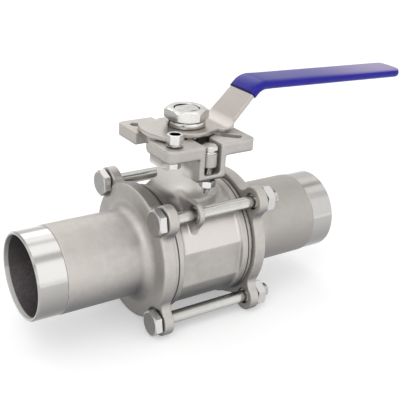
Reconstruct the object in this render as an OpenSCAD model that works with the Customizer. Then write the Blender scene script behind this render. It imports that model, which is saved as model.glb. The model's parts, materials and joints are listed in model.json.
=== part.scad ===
// Three-piece full-bore ball valve with long weld ends and a flat pad for an actuator.
// The origin is the centre of the ball: X is the flow axis, Z the stem axis.
// The near weld end lies at -X, and the lever points to +X when the valve is open.

/* [Weld ends] */
// Outside diameter of the turned weld ends
pipe_d = 60.3; // [58:0.1:62]
// Wall of the weld ends
pipe_wall = 2; // [1.6:0.1:3]
// Length over both weld ends
overall_l = 246; // [220:1:280]
// Length of the turned band at each weld end
band_l = 20; // [10:1:30]
// Extra radius of the cast pipe behind the turned band
band_step = 0.4; // [0.35:0.05:0.8]
// Bevel on the outer edge of each weld end
weld_bevel = 1; // [0.4:0.1:1.4]
// Diameter of the full bore
bore_d = 50; // [46:0.5:51]

/* [Body] */
// Distance between the two end faces of the body
body_l = 64.5; // [62:0.5:68]
// Outside diameter of the barrel between its end rings
barrel_d = 86.4; // [85:0.2:90]
// How far the end rings stand in from the edge of the flanges
ring_inset = 3; // [2:0.1:3.4]
// Width of each end ring
ring_w = 8.3; // [7:0.1:12]
// Distance between the two machined flats on the sides of the barrel
flat_gap = 82.6; // [81:0.2:84]
// Draft of the machined flats, whose lower edges lie nearer the middle
flat_draft = 2.4; // [0:0.1:3]
// How far the flats run into the end rings
flat_bite = 0.3; // [0.2:0.1:1]
// Radius of the ball cavity
cavity_r = 38.6; // [38.4:0.1:39]
// Thickness of the bolt lugs on the barrel
lug_t = 4; // [3:0.5:6]
// Outside radius of the bolt lugs
lug_r = 8.5; // [8:0.1:10.5]
// Distance from the middle of the body to the middle of each bolt lug
lug_x = 13.5; // [8:0.5:16]

/* [End caps] */
// Outside diameter of the cap flanges
flange_d = 96; // [95:0.5:99]
// Thickness of the cap flanges
flange_t = 9.5; // [9:0.5:13]
// Thickness of the bolt ears
ear_t = 7.5; // [6:0.5:8.5]
// Outside radius of the bolt ears
ear_r = 10.5; // [9.5:0.1:12]
// Fillet between the ears and the flange
ear_fillet = 8; // [5:0.5:12]
// Fillet at the root of the pipe
root_fillet = 7; // [4:0.5:9]
// Seam that stays open between a cap and the body
seam = 0.5; // [0.2:0.1:1]
// Length of the register that locates a cap in the body
register_l = 3.5; // [2:0.5:5]
// Distance from the ball's centre to the start of the narrowing bore
throat_x = 50; // [46:1:60]
// Length of the narrowing bore in each cap
throat_l = 20; // [10:1:30]

/* [Body bolts] */
// Distance from the edge of the flanges out to the middle of each body bolt
bolt_out = 5.5; // [5.3:0.1:8]
// Nominal diameter of the body bolts
bolt_d = 10; // [8:1:10]
// Diameter of the plain shank of the body bolts
shank_d = 8.6; // [7:0.1:8.9]
// Width across the flats of the body bolt heads and nuts
bolt_af = 17; // [15:1:17]
// Height of the body bolt heads
bolt_head_h = 6.4; // [5:0.2:8]
// Height of the body nuts
body_nut_h = 8; // [6:0.5:10]
// Length of thread past each body nut
bolt_end_l = 3; // [1:0.5:6]
// Diameter of the bolt holes in the ears
bolt_hole_d = 11.2; // [11:0.1:12]
// Turn of each bolt head about its own axis
bolt_head_turn = 10; // [0:1:59]
// Turn of each body nut about its own axis
body_nut_turn = 4; // [0:1:59]

/* [Ball and seats] */
// Diameter of the ball
ball_d = 76; // [75.4:0.1:76.4]
// Width of the driving slot in the top of the ball
slot_w = 10.4; // [9:0.1:12]
// Height of the bottom of the driving slot above the ball's centre
slot_z = 31; // [30:0.5:33]
// How far the inside of the seat rings stands back from the bore
seat_step = 0.5; // [0.3:0.1:2]
// Outside radius of the seat rings
seat_out_r = 33; // [32:0.1:34]
// Distance from the ball's centre to the front of each seat ring
seat_front_x = 23; // [22:0.5:26]
// Distance from the ball's centre to the back of each seat ring
seat_back_x = 36; // [34:0.5:38]
// Inside radius of the body gaskets
gasket_in_r = 40; // [39.6:0.1:40.4]
// Outside radius of the body gaskets
gasket_out_r = 42.6; // [42:0.1:43.2]
// Depth of the gasket groove in each end face of the body
groove_depth = 1.5; // [1:0.1:2.5]

/* [Stem] */
// Diameter of the stem
stem_d = 18; // [16:0.5:18.5]
// Width across the flats that carry the lever
stem_flats = 13; // [11:0.5:14]
// Diameter of the collar that keeps the stem in the body
collar_d = 24; // [22:0.5:25]
// Thickness of the collar
collar_t = 3; // [2:0.5:3.5]
// Height of the underside of the collar above the ball's centre
collar_z = 40; // [39:0.5:41]
// Length of the driving tang across the flow
tang_l = 20; // [16:0.5:22]
// Thickness of the thrust washer above the collar
thrust_t = 1.5; // [1:0.1:2]
// Section diameter of the stem's sealing ring
o_ring_d = 1.9; // [1.6:0.1:2.2]
// Length of the guide bore between the thrust washer and the packing
guide_l = 4.5; // [4:0.5:6]
// Diameter of the packing chamber
packing_d = 28; // [26:0.5:29]
// Number of packing rings
packing_n = 3; // [2:1:4]
// Height of one packing ring
packing_h = 3.4; // [3:0.1:3.6]
// Depth of the V in each packing ring
packing_v = 1.6; // [1:0.1:2]

/* [Neck and pad] */
// Diameter of the neck
neck_d = 36.6; // [35:0.2:38]
// Height of the top of the pad above the flow axis
pad_z = 83.3; // [82:0.1:86]
// Width of the square pad
pad_w = 70; // [68:1:74]
// Thickness of the pad
pad_t = 8.5; // [7:0.5:10]
// Corner radius of the pad
pad_corner = 5; // [3:0.5:8]
// Radius of the round opening in the pad
opening_r = 20; // [18:0.5:21]
// Width of the open slots for the gland ears
yoke_slot_w = 12.8; // [12.4:0.1:14]
// Height of the floor of the gland slots above the flow axis
ledge_z = 62.5; // [61:0.5:64]
// Height of the underside of the ledge above the flow axis
ledge_under_z = 57.5; // [56:0.5:59]
// Width of the two columns that carry the gland bolts
column_w = 21; // [19:0.5:24]
// Distance from the stem axis to the face of the two side columns
side_face_x = 24; // [23:0.5:26]
// Height of the foot of the two side columns above the flow axis
side_foot_z = 61.5; // [57:0.5:66]
// Slope of the underside of the side columns towards the neck
side_foot_slope = 20; // [10:1:45]
// Width of the two side columns
side_column_w = 13.8; // [12:0.2:15]
// Width of the notches in the pad above the side columns
notch_w = 16.5; // [15:0.5:19]
// Diameter of the outer bolt circle of the pad
pad_pcd = 70; // [68:1:72]
// Diameter of the inner bolt circle of the pad
pad_inner_pcd = 50; // [48:1:54]
// Width of the radial bolt slots of the pad
pad_slot_w = 8.4; // [7:0.1:9]
// Radius of the fillet at the foot of the neck
foot_fillet = 7; // [4:0.5:9]

/* [Gland] */
// Diameter of the gland hub
gland_hub_d = 29.6; // [28:0.2:30]
// Clearance between the gland hub and its pocket, on the radius
gland_clear = 0.7; // [0.4:0.1:1]
// Height of the underside of the gland ears above the flow axis
gland_z = 67.3; // [66:0.1:69]
// Thickness of the gland ears
gland_t = 9.5; // [7:0.5:9.5]
// Width of the gland ears
gland_ear_w = 11.4; // [10:0.2:12]
// Distance from the stem axis to each gland bolt
gland_bolt_y = 29.3; // [28:0.1:29.3]
// Nominal diameter of the gland bolts
gland_bolt_d = 6; // [5:0.5:6.5]
// Width across the flats of the gland bolt heads and nuts
gland_af = 10; // [9:0.5:10]
// Height of the gland bolt heads
gland_head_h = 4; // [3:0.2:4.4]
// Height of the washers under the gland bolt heads
gland_washer_h = 1.2; // [0.8:0.1:1.4]
// Height of the gland nuts
gland_nut_h = 5; // [4:0.5:6]
// Length of thread below each gland nut
gland_end_l = 5; // [2:0.5:6]
// Turn of the gland bolt heads about their own axes
gland_head_turn = 12; // [0:1:59]
// Turn of the gland nuts about their own axes
gland_nut_turn = 20; // [0:1:59]

/* [Lever] */
// Thickness of the lever plate
lever_t = 3.2; // [2.5:0.1:5]
// Gap between the pad and the lever plate
lever_gap = 1; // [0.3:0.1:1.5]
// Radius of the lever plate around the stem
lever_hub_r = 20.5; // [19:0.5:21.5]
// Width of the lever at its lower bend
foot_w = 28; // [26:0.5:32]
// Width of the lever where it enters the grip
arm_w = 25; // [23:0.5:27]
// Width of the lever inside the grip
blade_w = 22.8; // [20:0.2:24]
// Corner radius at the tip of the lever
tip_r = 4; // [2:0.5:8]
// Radius of the stop sector opposite the arm
sector_r = 33; // [31:0.5:33.5]
// Half angle of the stop sector
sector_angle = 34; // [28:1:40]
// Distance from the stem axis to the lower bend
bend_x = 27; // [25:0.5:29]
// Rise from the plate to the grip
lever_rise = 26.2; // [22:0.2:32]
// Steepness of the rising part
rise_angle = 45; // [40:1:50]
// Slope of the grip, seen from the side
grip_slope = -1.8; // [-3:0.1:3]
// Reach of the lever from the stem axis to the tip of the grip
lever_l = 195; // [160:1:220]
// Inside radius of the lower bend
low_bend_r = 14; // [8:0.5:16]
// Inside radius of the upper bend
top_bend_r = 8.5; // [4:0.5:10]
// Wall of the moulded grip
grip_wall = 1.4; // [1:0.1:2.4]
// Distance along the rising part that the grip covers
grip_down = 9.3; // [7:0.1:16]
// Distance past the upper bend over which the grip narrows
grip_taper = 12; // [6:1:30]
// Rounding of the shoulder that meets the stop when the valve is closed
shoulder_r = 5; // [2:0.5:6]

/* [Stem nut and stop] */
// Width across the flats of the stem nut
stem_nut_af = 27; // [26:0.5:28]
// Height of the stem nut
stem_nut_h = 8.1; // [7:0.1:10]
// Turn of the stem nut about the stem
stem_nut_turn = 32; // [0:1:59]
// Height of the spring washer under the stem nut
spring_h = 4.2; // [3:0.1:4.5]
// Outside diameter of the spring washer
spring_d = 27; // [24:0.5:29]
// Gap in the split spring washer
spring_split = 1.9; // [1:0.1:2.5]
// Direction in which the spring washer is split
spring_turn = 176; // [0:1:359]
// Slant of the split
spring_slant = 12; // [0:1:20]
// Width across the flats of the stop screw
stop_af = 10; // [9:0.2:10.4]
// Height of the head of the stop screw
stop_h = 8.6; // [7:0.2:10]
// Diameter of the hollow in the head of the stop screw
stop_hollow_d = 7.4; // [5:0.2:8]
// Depth of the hollow in the stop screw
stop_hollow_l = 3; // [1:0.5:6]
// Diameter of the shank of the stop screw
stop_d = 6; // [5:0.5:6]
// Height of the nut under the pad
stop_nut_h = 4; // [3:0.5:5]
// Width across flats of the nut under the pad
stop_nut_af = 8.6; // [8:0.2:10.4]

/* [Clearances] */
// Radial clearance of the turning stem in its bore
run_clear = 0.05; // [0.02:0.01:0.1]
// Clearance between the ball and the seats
ball_clear = 0.1; // [0.05:0.01:0.2]
// Clearance of parts that are screwed or pushed together
fit_clear = 0.05; // [0.02:0.01:0.1]
// Clearance between the stop and the shoulders that reach it
stop_clear = 0.2; // [0.1:0.05:0.4]

/* [Hidden] */
// Segments of large and of small round shapes
fn_big = 96;
fn_small = 32;
// Overlap of a cutting tool past the face that it cuts
cut = 1;
// How far each fillet of the ears crosses the round shapes that it joins
fillet_bite = 0.03;
body_half = body_l / 2;
cap_x = body_half + seam;
flange_x = cap_x + flange_t;
ear_x = cap_x + ear_t;
end_x = overall_l / 2;
band_x = end_x - band_l;
pipe_r = pipe_d / 2;
ring_d = flange_d - 2 * ring_inset;
bolt_pcd = flange_d + 2 * bolt_out;
cast_r = pipe_r + band_step;
ball_r = ball_d / 2;
bore_r = bore_d / 2;
seat_in_r = bore_r + seat_step;
bolt_o = bolt_pcd / 2 * cos(45);
nut_x = ear_x + body_nut_h;
stem_r = stem_d / 2;
thrust_z = collar_z + collar_t + stop_clear / 2;
guide_z = thrust_z + thrust_t;
packing_z = guide_z + guide_l;
packing_top = packing_z + packing_n * packing_h + packing_v;
o_ring_z = guide_z + guide_l / 2;
pad_under_z = pad_z - pad_t;
pad_half = pad_w / 2;
pocket_r = gland_hub_d / 2 + gland_clear;
gland_top = gland_z + gland_t;
lever_z = pad_z + lever_gap;
lever_top = lever_z + lever_t;
spring_top = lever_top + spring_h;
nut_top = spring_top + stem_nut_h;
stop_xy = pad_pcd / 2 * cos(45);
stop_reach = stop_af / 2 + stop_clear;
// Colours of the bare metals and the plastics
cast_steel = [0.72, 0.71, 0.69];
bright_steel = [0.82, 0.82, 0.81];
seal_white = [0.93, 0.92, 0.88];
grip_blue = [0.16, 0.14, 0.62];

// Turns a profile drawn as radius and position into a solid about the flow axis
module about_x(fn = fn_big) {
    rotate([0, 90, 0]) rotate_extrude($fn = fn) children();
}

// A cylinder along X between two positions
module x_cylinder(r, x0, x1, fn = fn_small) {
    translate([x0, 0, 0]) rotate([0, 90, 0]) cylinder(r = r, h = x1 - x0, $fn = fn);
}

// Puts a copy of the children on each of the four body bolt axes
module on_bolt_axes() {
    for (sy = [-1, 1], sz = [-1, 1])
        translate([0, sy * bolt_o, sz * bolt_o]) children();
}

// A hexagon nut or head standing on z = 0, with its top corners turned to a cone
module hex_head(af, h, hole_d = 0, both = false) {
    corner_r = af / cos(30) / 2;
    bevel = (corner_r - af / 2 * 0.97) * tan(30);
    difference() {
        intersection() {
            cylinder(r = corner_r, h = h, $fn = 6);
            rotate_extrude($fn = fn_small)
                polygon([[0, 0], [both ? af / 2 * 0.97 : corner_r, 0], [corner_r, both ? bevel : 0],
                    [corner_r, h - bevel], [af / 2 * 0.97, h], [0, h]]);
        }
        if (hole_d > 0)
            translate([0, 0, -cut]) cylinder(d = hole_d, h = h + 2 * cut, $fn = fn_small);
    }
}

// A round rod standing on z = 0 with a chamfered tip
module rod(d, h, tip = 0.8) {
    cylinder(d = d, h = h - tip, $fn = fn_small);
    translate([0, 0, h - tip]) cylinder(d1 = d, d2 = d - 2 * tip, h = tip, $fn = fn_small);
}

// Outline of one bolt lug, seen along the flow axis
module lug_outline() {
    hull() {
        translate([-bolt_o, bolt_o]) circle(r = lug_r, $fn = 32);
        translate([-neck_d / 2 + 4, bolt_o + lug_r - 4]) circle(r = 4, $fn = 32);
        translate([-barrel_d / 2 * cos(40), barrel_d / 2 * sin(30)]) circle(r = 3, $fn = 32);
    }
}

// Side view of the columns that carry the gland bolts: y to the right, z up
module column_profile() {
    front = pad_half;
    polygon([[-front, pad_z - 1], [-front, ledge_under_z + 2.5], [-front + 3, ledge_under_z],
        [front - 3, ledge_under_z], [front, ledge_under_z + 2.5], [front, pad_z - 1]]);
}

// Front view of the two side columns, which taper into the neck: x to the right, z up
module side_column_profile() {
    foot_x = neck_d / 2 - 2;
    root_z = side_foot_z - (side_face_x - foot_x) * tan(side_foot_slope);
    polygon([[-side_face_x, pad_under_z + cut], [-side_face_x, side_foot_z], [-foot_x, root_z],
        [foot_x, root_z], [side_face_x, side_foot_z], [side_face_x, pad_under_z + cut]]);
}

// The barrel with its end rings, flats and bolt lugs
module barrel() {
    step = 0.5;
    flat_l = body_l - 2 * ring_w + 2 * flat_bite;
    difference() {
        about_x() polygon([[0, -body_half], [ring_d / 2, -body_half], [ring_d / 2, -body_half + ring_w],
            [barrel_d / 2, -body_half + ring_w + step], [barrel_d / 2, body_half - ring_w - step],
            [ring_d / 2, body_half - ring_w], [ring_d / 2, body_half], [0, body_half]]);
        for (s = [0, 180]) rotate([0, 0, s]) rotate([-flat_draft, 0, 0])
            translate([-flat_l / 2, flat_gap / 2, -barrel_d / 2]) cube([flat_l, ring_d - flat_gap, barrel_d]);
    }
    for (s = [0, 180]) rotate([0, 0, s])
        translate([-lug_x - lug_t / 2, 0, 0]) rotate([90, 0, 90])
            linear_extrude(lug_t) lug_outline();
}

// The neck with its flared foot
module neck() {
    r = neck_d / 2;
    foot_z = barrel_d / 2 - 1;
    cylinder(r = r, h = pad_z - 2, $fn = fn_big);
    rotate_extrude($fn = fn_big) difference() {
        polygon([[0, foot_z - 12], [r + foot_fillet + 1.5, foot_z - 12], [r + foot_fillet, foot_z],
            [r + foot_fillet, foot_z + foot_fillet], [0, foot_z + foot_fillet]]);
        translate([r + foot_fillet, foot_z + foot_fillet]) circle(r = foot_fillet, $fn = fn_small);
    }
}

// The square pad with its notches and radial bolt slots, as a flat outline
module pad_outline() {
    corner = pad_half - pad_corner;
    notch_r = 2.5;
    difference() {
        union() {
            square([pad_w, 2 * corner], center = true);
            square([2 * corner, pad_w], center = true);
            for (sx = [-1, 1], sy = [-1, 1])
                translate([sx * corner, sy * corner]) circle(r = pad_corner, $fn = fn_small);
        }
        circle(r = opening_r, $fn = fn_big);
        square([yoke_slot_w, pad_w + 2 * cut], center = true);
        for (s = [-1, 1]) {
            translate([s * (side_face_x + notch_r + pad_w / 2), 0]) square([pad_w, notch_w], center = true);
            translate([s * (side_face_x + pad_w / 2), 0])
                square([pad_w, notch_w - 2 * notch_r], center = true);
            for (t = [-1, 1])
                translate([s * (side_face_x + notch_r), t * (notch_w / 2 - notch_r)])
                    circle(r = notch_r, $fn = fn_small);
        }
        for (a = [45, 135, 315]) rotate(a) {
            translate([pad_inner_pcd / 2, -pad_slot_w / 2])
                square([(pad_pcd - pad_inner_pcd) / 2, pad_slot_w]);
            translate([pad_pcd / 2, 0]) circle(d = pad_slot_w, $fn = fn_small);
            translate([pad_inner_pcd / 2, 0]) circle(d = pad_slot_w, $fn = fn_small);
        }
        translate([-stop_xy, -stop_xy]) circle(r = stop_d / 2 + 0.3, $fn = fn_small);
    }
}

// The centre casting: barrel, neck, four columns and pad in one piece
module body() {
    color(cast_steel) difference() {
        union() {
            barrel();
            neck();
            translate([-column_w / 2, 0, 0]) rotate([90, 0, 90])
                linear_extrude(column_w) column_profile();
            translate([0, side_column_w / 2, 0]) rotate([90, 0, 0])
                linear_extrude(side_column_w) side_column_profile();
            translate([0, 0, pad_under_z]) linear_extrude(pad_t) pad_outline();
        }
        x_cylinder(cavity_r, -body_half - cut, body_half + cut, fn_big);
        for (s = [-1, 1])
            about_x() translate([gasket_in_r, s > 0 ? body_half - groove_depth : -body_half - cut])
                square([gasket_out_r - gasket_in_r, groove_depth + cut]);
        cylinder(d = collar_d + 0.8, h = guide_z, $fn = fn_big);
        cylinder(r = stem_r + run_clear, h = pad_z, $fn = fn_big);
        translate([0, 0, packing_z]) cylinder(d = packing_d, h = pad_z, $fn = fn_big);
        translate([0, 0, ledge_z]) cylinder(r = pocket_r, h = pad_z, $fn = fn_big);
        translate([0, 0, pad_under_z]) cylinder(r = opening_r, h = pad_t + cut, $fn = fn_big);
        translate([-yoke_slot_w / 2, -pad_half - cut, ledge_z])
            cube([yoke_slot_w, pad_w + 2 * cut, pad_t + pad_z - ledge_z]);
        for (s = [-1, 1])
            translate([0, s * gland_bolt_y, ledge_under_z - cut])
                cylinder(d = gland_bolt_d + 0.6, h = ledge_z - ledge_under_z + 2 * cut, $fn = fn_small);
        on_bolt_axes() x_cylinder(bolt_hole_d / 2, -body_half, body_half);
    }
}

// Flat outline of the four bolt ears, with the fillets that run into the flange
module ear_outline() {
    ear_c = bolt_pcd / 2;
    fillet_c = flange_d / 2 + ear_fillet - fillet_bite;
    ear_to_fillet = ear_r + ear_fillet - fillet_bite;
    side = acos((ear_c * ear_c + fillet_c * fillet_c - ear_to_fillet * ear_to_fillet)
        / (2 * ear_c * fillet_c));
    root = flange_d / 2 - 4;
    for (a = [45:90:315]) rotate(a) {
        translate([ear_c, 0]) circle(r = ear_r, $fn = fn_small);
        difference() {
            polygon([[root * cos(side), root * sin(side)],
                [fillet_c * cos(side), fillet_c * sin(side)], [ear_c, 0],
                [fillet_c * cos(side), -fillet_c * sin(side)],
                [root * cos(side), -root * sin(side)]]);
            for (s = [-1, 1]) rotate(s * side)
                translate([fillet_c, 0]) circle(r = ear_fillet, $fn = fn_small);
        }
    }
}

// Half profile of a cap: radius to the right, distance from the ball's centre upwards
module cap_profile() {
    disc_r = flange_d / 2;
    edge = 1.5;
    difference() {
        union() {
            translate([0, cap_x - register_l]) square([cavity_r - fit_clear, register_l + cut]);
            translate([0, cap_x]) square([disc_r, flange_t - edge]);
            translate([0, cap_x]) square([disc_r - edge, flange_t]);
            translate([disc_r - edge, flange_x - edge]) circle(r = edge, $fn = fn_small);
            translate([0, cap_x]) square([cast_r + root_fillet, flange_t + root_fillet]);
            translate([0, flange_x]) square([cast_r, band_x - flange_x]);
            translate([0, band_x]) square([pipe_r, band_l - weld_bevel]);
            polygon([[0, end_x - weld_bevel], [pipe_r, end_x - weld_bevel],
                [pipe_r - weld_bevel, end_x], [0, end_x]]);
        }
        translate([cast_r + root_fillet, flange_x + root_fillet]) circle(r = root_fillet, $fn = fn_small);
        polygon([[0, 0], [bore_r, 0], [bore_r, throat_x], [pipe_r - pipe_wall, throat_x + throat_l],
            [pipe_r - pipe_wall, end_x + cut], [0, end_x + cut]]);
        square([seat_out_r, seat_back_x]);
    }
}

// One end cap on the +X side
module cap() {
    color(cast_steel) difference() {
        union() {
            about_x() cap_profile();
            translate([cap_x, 0, 0]) rotate([90, 0, 90]) linear_extrude(ear_t) ear_outline();
        }
        on_bolt_axes() x_cylinder(bolt_hole_d / 2, cap_x - cut, flange_x + cut);
        on_bolt_axes() x_cylinder(bolt_af / cos(30) / 2 + 0.6, ear_x, flange_x + cut);
    }
}

module left_cap() {
    mirror([1, 0, 0]) cap();
}

module right_cap() {
    cap();
}

// Soft gasket in the groove of an end face, pressed by the cap
module gasket(s) {
    x0 = s > 0 ? body_half - groove_depth : -cap_x;
    color(seal_white) about_x() translate([gasket_in_r, x0])
        square([gasket_out_r - gasket_in_r, groove_depth + seam]);
}

module left_gasket() {
    gasket(-1);
}

module right_gasket() {
    gasket(1);
}

// Seat ring that bears on the ball and is held in the cap
module seat() {
    color(seal_white) difference() {
        about_x() translate([seat_in_r, seat_front_x])
            square([seat_out_r - seat_in_r, seat_back_x - seat_front_x]);
        sphere(r = ball_r + ball_clear, $fn = fn_big);
    }
}

module left_seat() {
    mirror([1, 0, 0]) seat();
}

module right_seat() {
    seat();
}

// The full-bore ball with the driving slot in its top
module ball() {
    color(bright_steel) difference() {
        sphere(r = ball_r, $fn = fn_big);
        x_cylinder(bore_r, -ball_r - cut, ball_r + cut, fn_big);
        translate([-slot_w / 2, -ball_r, slot_z]) cube([slot_w, ball_d, ball_r]);
    }
}

// The stem: tang, collar, sealing groove, shaft, and flats for the lever
module stem() {
    tang_t = slot_w - 0.4;
    groove_r = stem_r - o_ring_d;
    groove_h = o_ring_d + 0.3;
    chamfer = 1;
    color(bright_steel) difference() {
        union() {
            intersection() {
                translate([-tang_t / 2, -tang_l / 2, slot_z + 0.4])
                    cube([tang_t, tang_l, collar_z - slot_z]);
                cylinder(d = tang_l, h = collar_z + cut, $fn = fn_big);
            }
            translate([0, 0, collar_z]) cylinder(d = collar_d, h = collar_t, $fn = fn_big);
            translate([0, 0, collar_z]) rod(stem_d, nut_top - collar_z - 0.6, chamfer);
        }
        translate([0, 0, o_ring_z - groove_h / 2]) difference() {
            cylinder(r = stem_r + cut, h = groove_h, $fn = fn_big);
            cylinder(r = groove_r, h = groove_h, $fn = fn_big);
        }
        for (s = [0, 180]) rotate(s)
            translate([-stem_r, stem_flats / 2, lever_z]) cube([stem_d, stem_r, nut_top - lever_z]);
    }
}

module stem_o_ring() {
    color([0.08, 0.08, 0.08]) translate([0, 0, o_ring_z]) rotate_extrude($fn = fn_big)
        translate([stem_r - o_ring_d / 2, 0]) circle(d = o_ring_d, $fn = fn_small);
}

module thrust_washer() {
    color(seal_white) translate([0, 0, thrust_z]) difference() {
        cylinder(d = collar_d, h = thrust_t, $fn = fn_big);
        translate([0, 0, -cut]) cylinder(r = stem_r + run_clear, h = thrust_t + 2 * cut, $fn = fn_big);
    }
}

// Stack of V-shaped packing rings around the stem
module packing_rings() {
    in_r = stem_r + run_clear;
    out_r = packing_d / 2;
    mid_r = (in_r + out_r) / 2;
    color(seal_white) for (i = [0:packing_n - 1]) {
        low = i == 0 ? 0 : packing_v;
        dip = i == packing_n - 1 ? 0 : packing_v;
        translate([0, 0, packing_z + i * packing_h]) rotate_extrude($fn = fn_big)
            polygon([[in_r, low], [mid_r, 0], [out_r, low], [out_r, packing_h + packing_v],
                [mid_r, packing_h + packing_v - dip], [in_r, packing_h + packing_v]]);
    }
}

// Two-eared gland that presses on the packing
module gland() {
    color(cast_steel) difference() {
        union() {
            translate([0, 0, packing_top])
                cylinder(d = packing_d - 0.4, h = gland_z - packing_top + cut, $fn = fn_big);
            translate([0, 0, gland_z]) linear_extrude(gland_t) {
                circle(d = gland_hub_d, $fn = fn_big);
                square([gland_ear_w, 2 * gland_bolt_y], center = true);
                for (s = [-1, 1])
                    translate([0, s * gland_bolt_y]) circle(d = gland_ear_w, $fn = fn_small);
            }
        }
        translate([0, 0, packing_top - cut])
            cylinder(r = stem_r + 0.3, h = gland_top, $fn = fn_big);
        for (s = [-1, 1])
            translate([0, s * gland_bolt_y, gland_z - cut])
                cylinder(d = gland_bolt_d + 0.6, h = gland_t + 2 * cut, $fn = fn_small);
    }
}

// Puts a copy of the children on each gland bolt axis
module on_gland_axes() {
    for (s = [-1, 1]) translate([0, s * gland_bolt_y, 0]) children();
}

module gland_bolts() {
    head_z = gland_top + gland_washer_h;
    tip_z = ledge_under_z - gland_nut_h - gland_end_l;
    color(bright_steel) on_gland_axes() {
        translate([0, 0, head_z]) rotate(gland_head_turn) hex_head(gland_af, gland_head_h);
        translate([0, 0, head_z + 0.5]) mirror([0, 0, 1]) rod(gland_bolt_d, head_z + 0.5 - tip_z);
    }
}

module gland_washers() {
    color(bright_steel) on_gland_axes() translate([0, 0, gland_top]) difference() {
        cylinder(d = gland_af + 0.8, h = gland_washer_h, $fn = fn_small);
        translate([0, 0, -cut])
            cylinder(d = gland_bolt_d + 2 * fit_clear, h = gland_washer_h + 2 * cut, $fn = fn_small);
    }
}

module gland_nuts() {
    color(bright_steel) on_gland_axes() translate([0, 0, ledge_under_z]) mirror([0, 0, 1])
        rotate(gland_nut_turn) hex_head(gland_af, gland_nut_h, gland_bolt_d + 2 * fit_clear);
}

// Points of an arc in the side view of the lever
bend_steps = 8;
function arc(c, r, a0, a1) = [for (i = [0:bend_steps]) let (a = a0 + (a1 - a0) * i / bend_steps)
    [c[0] + r * cos(a), c[1] + r * sin(a)]];

// Middle line of the lever: foot, lower bend, rise, upper bend and grip
mid_z = lever_z + lever_t / 2;
grip_x = bend_x + lever_rise / tan(rise_angle);
grip_z = mid_z + lever_rise;
low_mid_r = low_bend_r + lever_t / 2;
top_mid_r = top_bend_r + lever_t / 2;
low_bend_l = low_mid_r * tan(rise_angle / 2);
top_bend_l = top_mid_r * tan((rise_angle - grip_slope) / 2);
rise_end = lever_rise / sin(rise_angle) - top_bend_l;
low_c = [bend_x - low_bend_l, mid_z + low_mid_r];
top_c = [bend_x + rise_end * cos(rise_angle) + top_mid_r * sin(rise_angle),
    mid_z + rise_end * sin(rise_angle) - top_mid_r * cos(rise_angle)];
tip_x = lever_l + 2;

// A point of the rise, at a distance from the lower corner and at a height over the middle line
function on_rise(along, up) = [bend_x + along * cos(rise_angle) - up * sin(rise_angle),
    mid_z + along * sin(rise_angle) + up * cos(rise_angle)];

// A point of the grip's end, at a height over the middle line
function at_tip(up) = [tip_x, grip_z + (tip_x - grip_x) * tan(grip_slope) + up / cos(grip_slope)];

// Side view of the whole bent plate
module plate_side(t) {
    polygon(concat([[-sector_r - cut, mid_z - t / 2]],
        arc(low_c, low_mid_r + t / 2, -90, rise_angle - 90),
        arc(top_c, top_mid_r - t / 2, 90 + rise_angle, 90 + grip_slope),
        [at_tip(-t / 2), at_tip(t / 2)],
        arc(top_c, top_mid_r + t / 2, 90 + grip_slope, 90 + rise_angle),
        arc(low_c, low_mid_r - t / 2, rise_angle - 90, -90),
        [[-sector_r - cut, mid_z + t / 2]]));
}

// Side view of the moulded grip, which starts on the rise
module grip_side(t) {
    start = rise_end + top_bend_l - grip_down;
    polygon(concat([on_rise(start, -t / 2)],
        arc(top_c, top_mid_r - t / 2, 90 + rise_angle, 90 + grip_slope),
        [at_tip(-t / 2), at_tip(t / 2)],
        arc(top_c, top_mid_r + t / 2, 90 + grip_slope, 90 + rise_angle),
        [on_rise(start, t / 2)]));
}

// Turns a side view into a wide solid across the lever
module across() {
    rotate([90, 0, 0]) translate([0, 0, -pad_w / 2]) linear_extrude(pad_w) children();
}

// The bare lever before its hole is cut
module lever_blank() {
    intersection() {
        across() plate_side(lever_t);
        linear_extrude(grip_z + 20) lever_outline();
    }
}

// Top view of a blade with rounded corners at its tip, as wide as its arm where it starts
module blade_outline(start_x, start_w, w, end_x, corner_r) {
    narrow_x = grip_x + grip_taper;
    square_x = end_x - corner_r;
    polygon([[start_x, -start_w / 2], [grip_x, -start_w / 2], [narrow_x, -w / 2], [square_x, -w / 2],
        [square_x, w / 2], [narrow_x, w / 2], [grip_x, start_w / 2], [start_x, start_w / 2]]);
    translate([square_x - cut, corner_r - w / 2]) square([corner_r + cut, w - 2 * corner_r]);
    for (s = [-1, 1])
        translate([square_x, s * (w / 2 - corner_r)]) circle(r = corner_r, $fn = fn_small);
}

// Top view of the stop sector behind the stem, which ends against a flat of the stop screw
module sector_outline() {
    far = 2 * sector_r;
    difference() {
        intersection() {
            circle(r = sector_r, $fn = fn_big);
            polygon([[0, 0], [-far * cos(sector_angle), far * sin(sector_angle)], [-far, 0],
                [-far * cos(60), -far * sin(60)]]);
        }
        translate([-stop_xy, -stop_xy]) rotate(-45)
            translate([-stop_af / 2 - stop_clear, -far]) square([far, 2 * far]);
    }
}

// Top view of the lever plate
module lever_outline() {
    foot_edge = lever_hub_r * 0.995;
    shoulder_y = stop_xy - stop_af / cos(30) / 2 - stop_clear;
    shoulder_x = stop_xy + stop_af / 2 - shoulder_r;
    circle(r = lever_hub_r, $fn = fn_big);
    sector_outline();
    polygon([[0, -foot_edge], [bend_x, -foot_w / 2], [grip_x, -arm_w / 2],
        [grip_x, arm_w / 2], [bend_x, foot_w / 2], [0, foot_edge]]);
    blade_outline(grip_x - cut, arm_w, blade_w, lever_l - grip_wall, tip_r);
    polygon([[0, 0], [shoulder_y * 0.8, -foot_w / 2], [shoulder_y, -shoulder_y], [shoulder_x, -shoulder_y],
        [shoulder_x + shoulder_r, -shoulder_y + shoulder_r], [shoulder_x + shoulder_r, 0]]);
    translate([shoulder_x, -shoulder_y + shoulder_r]) circle(r = shoulder_r, $fn = fn_small);
}

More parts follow.
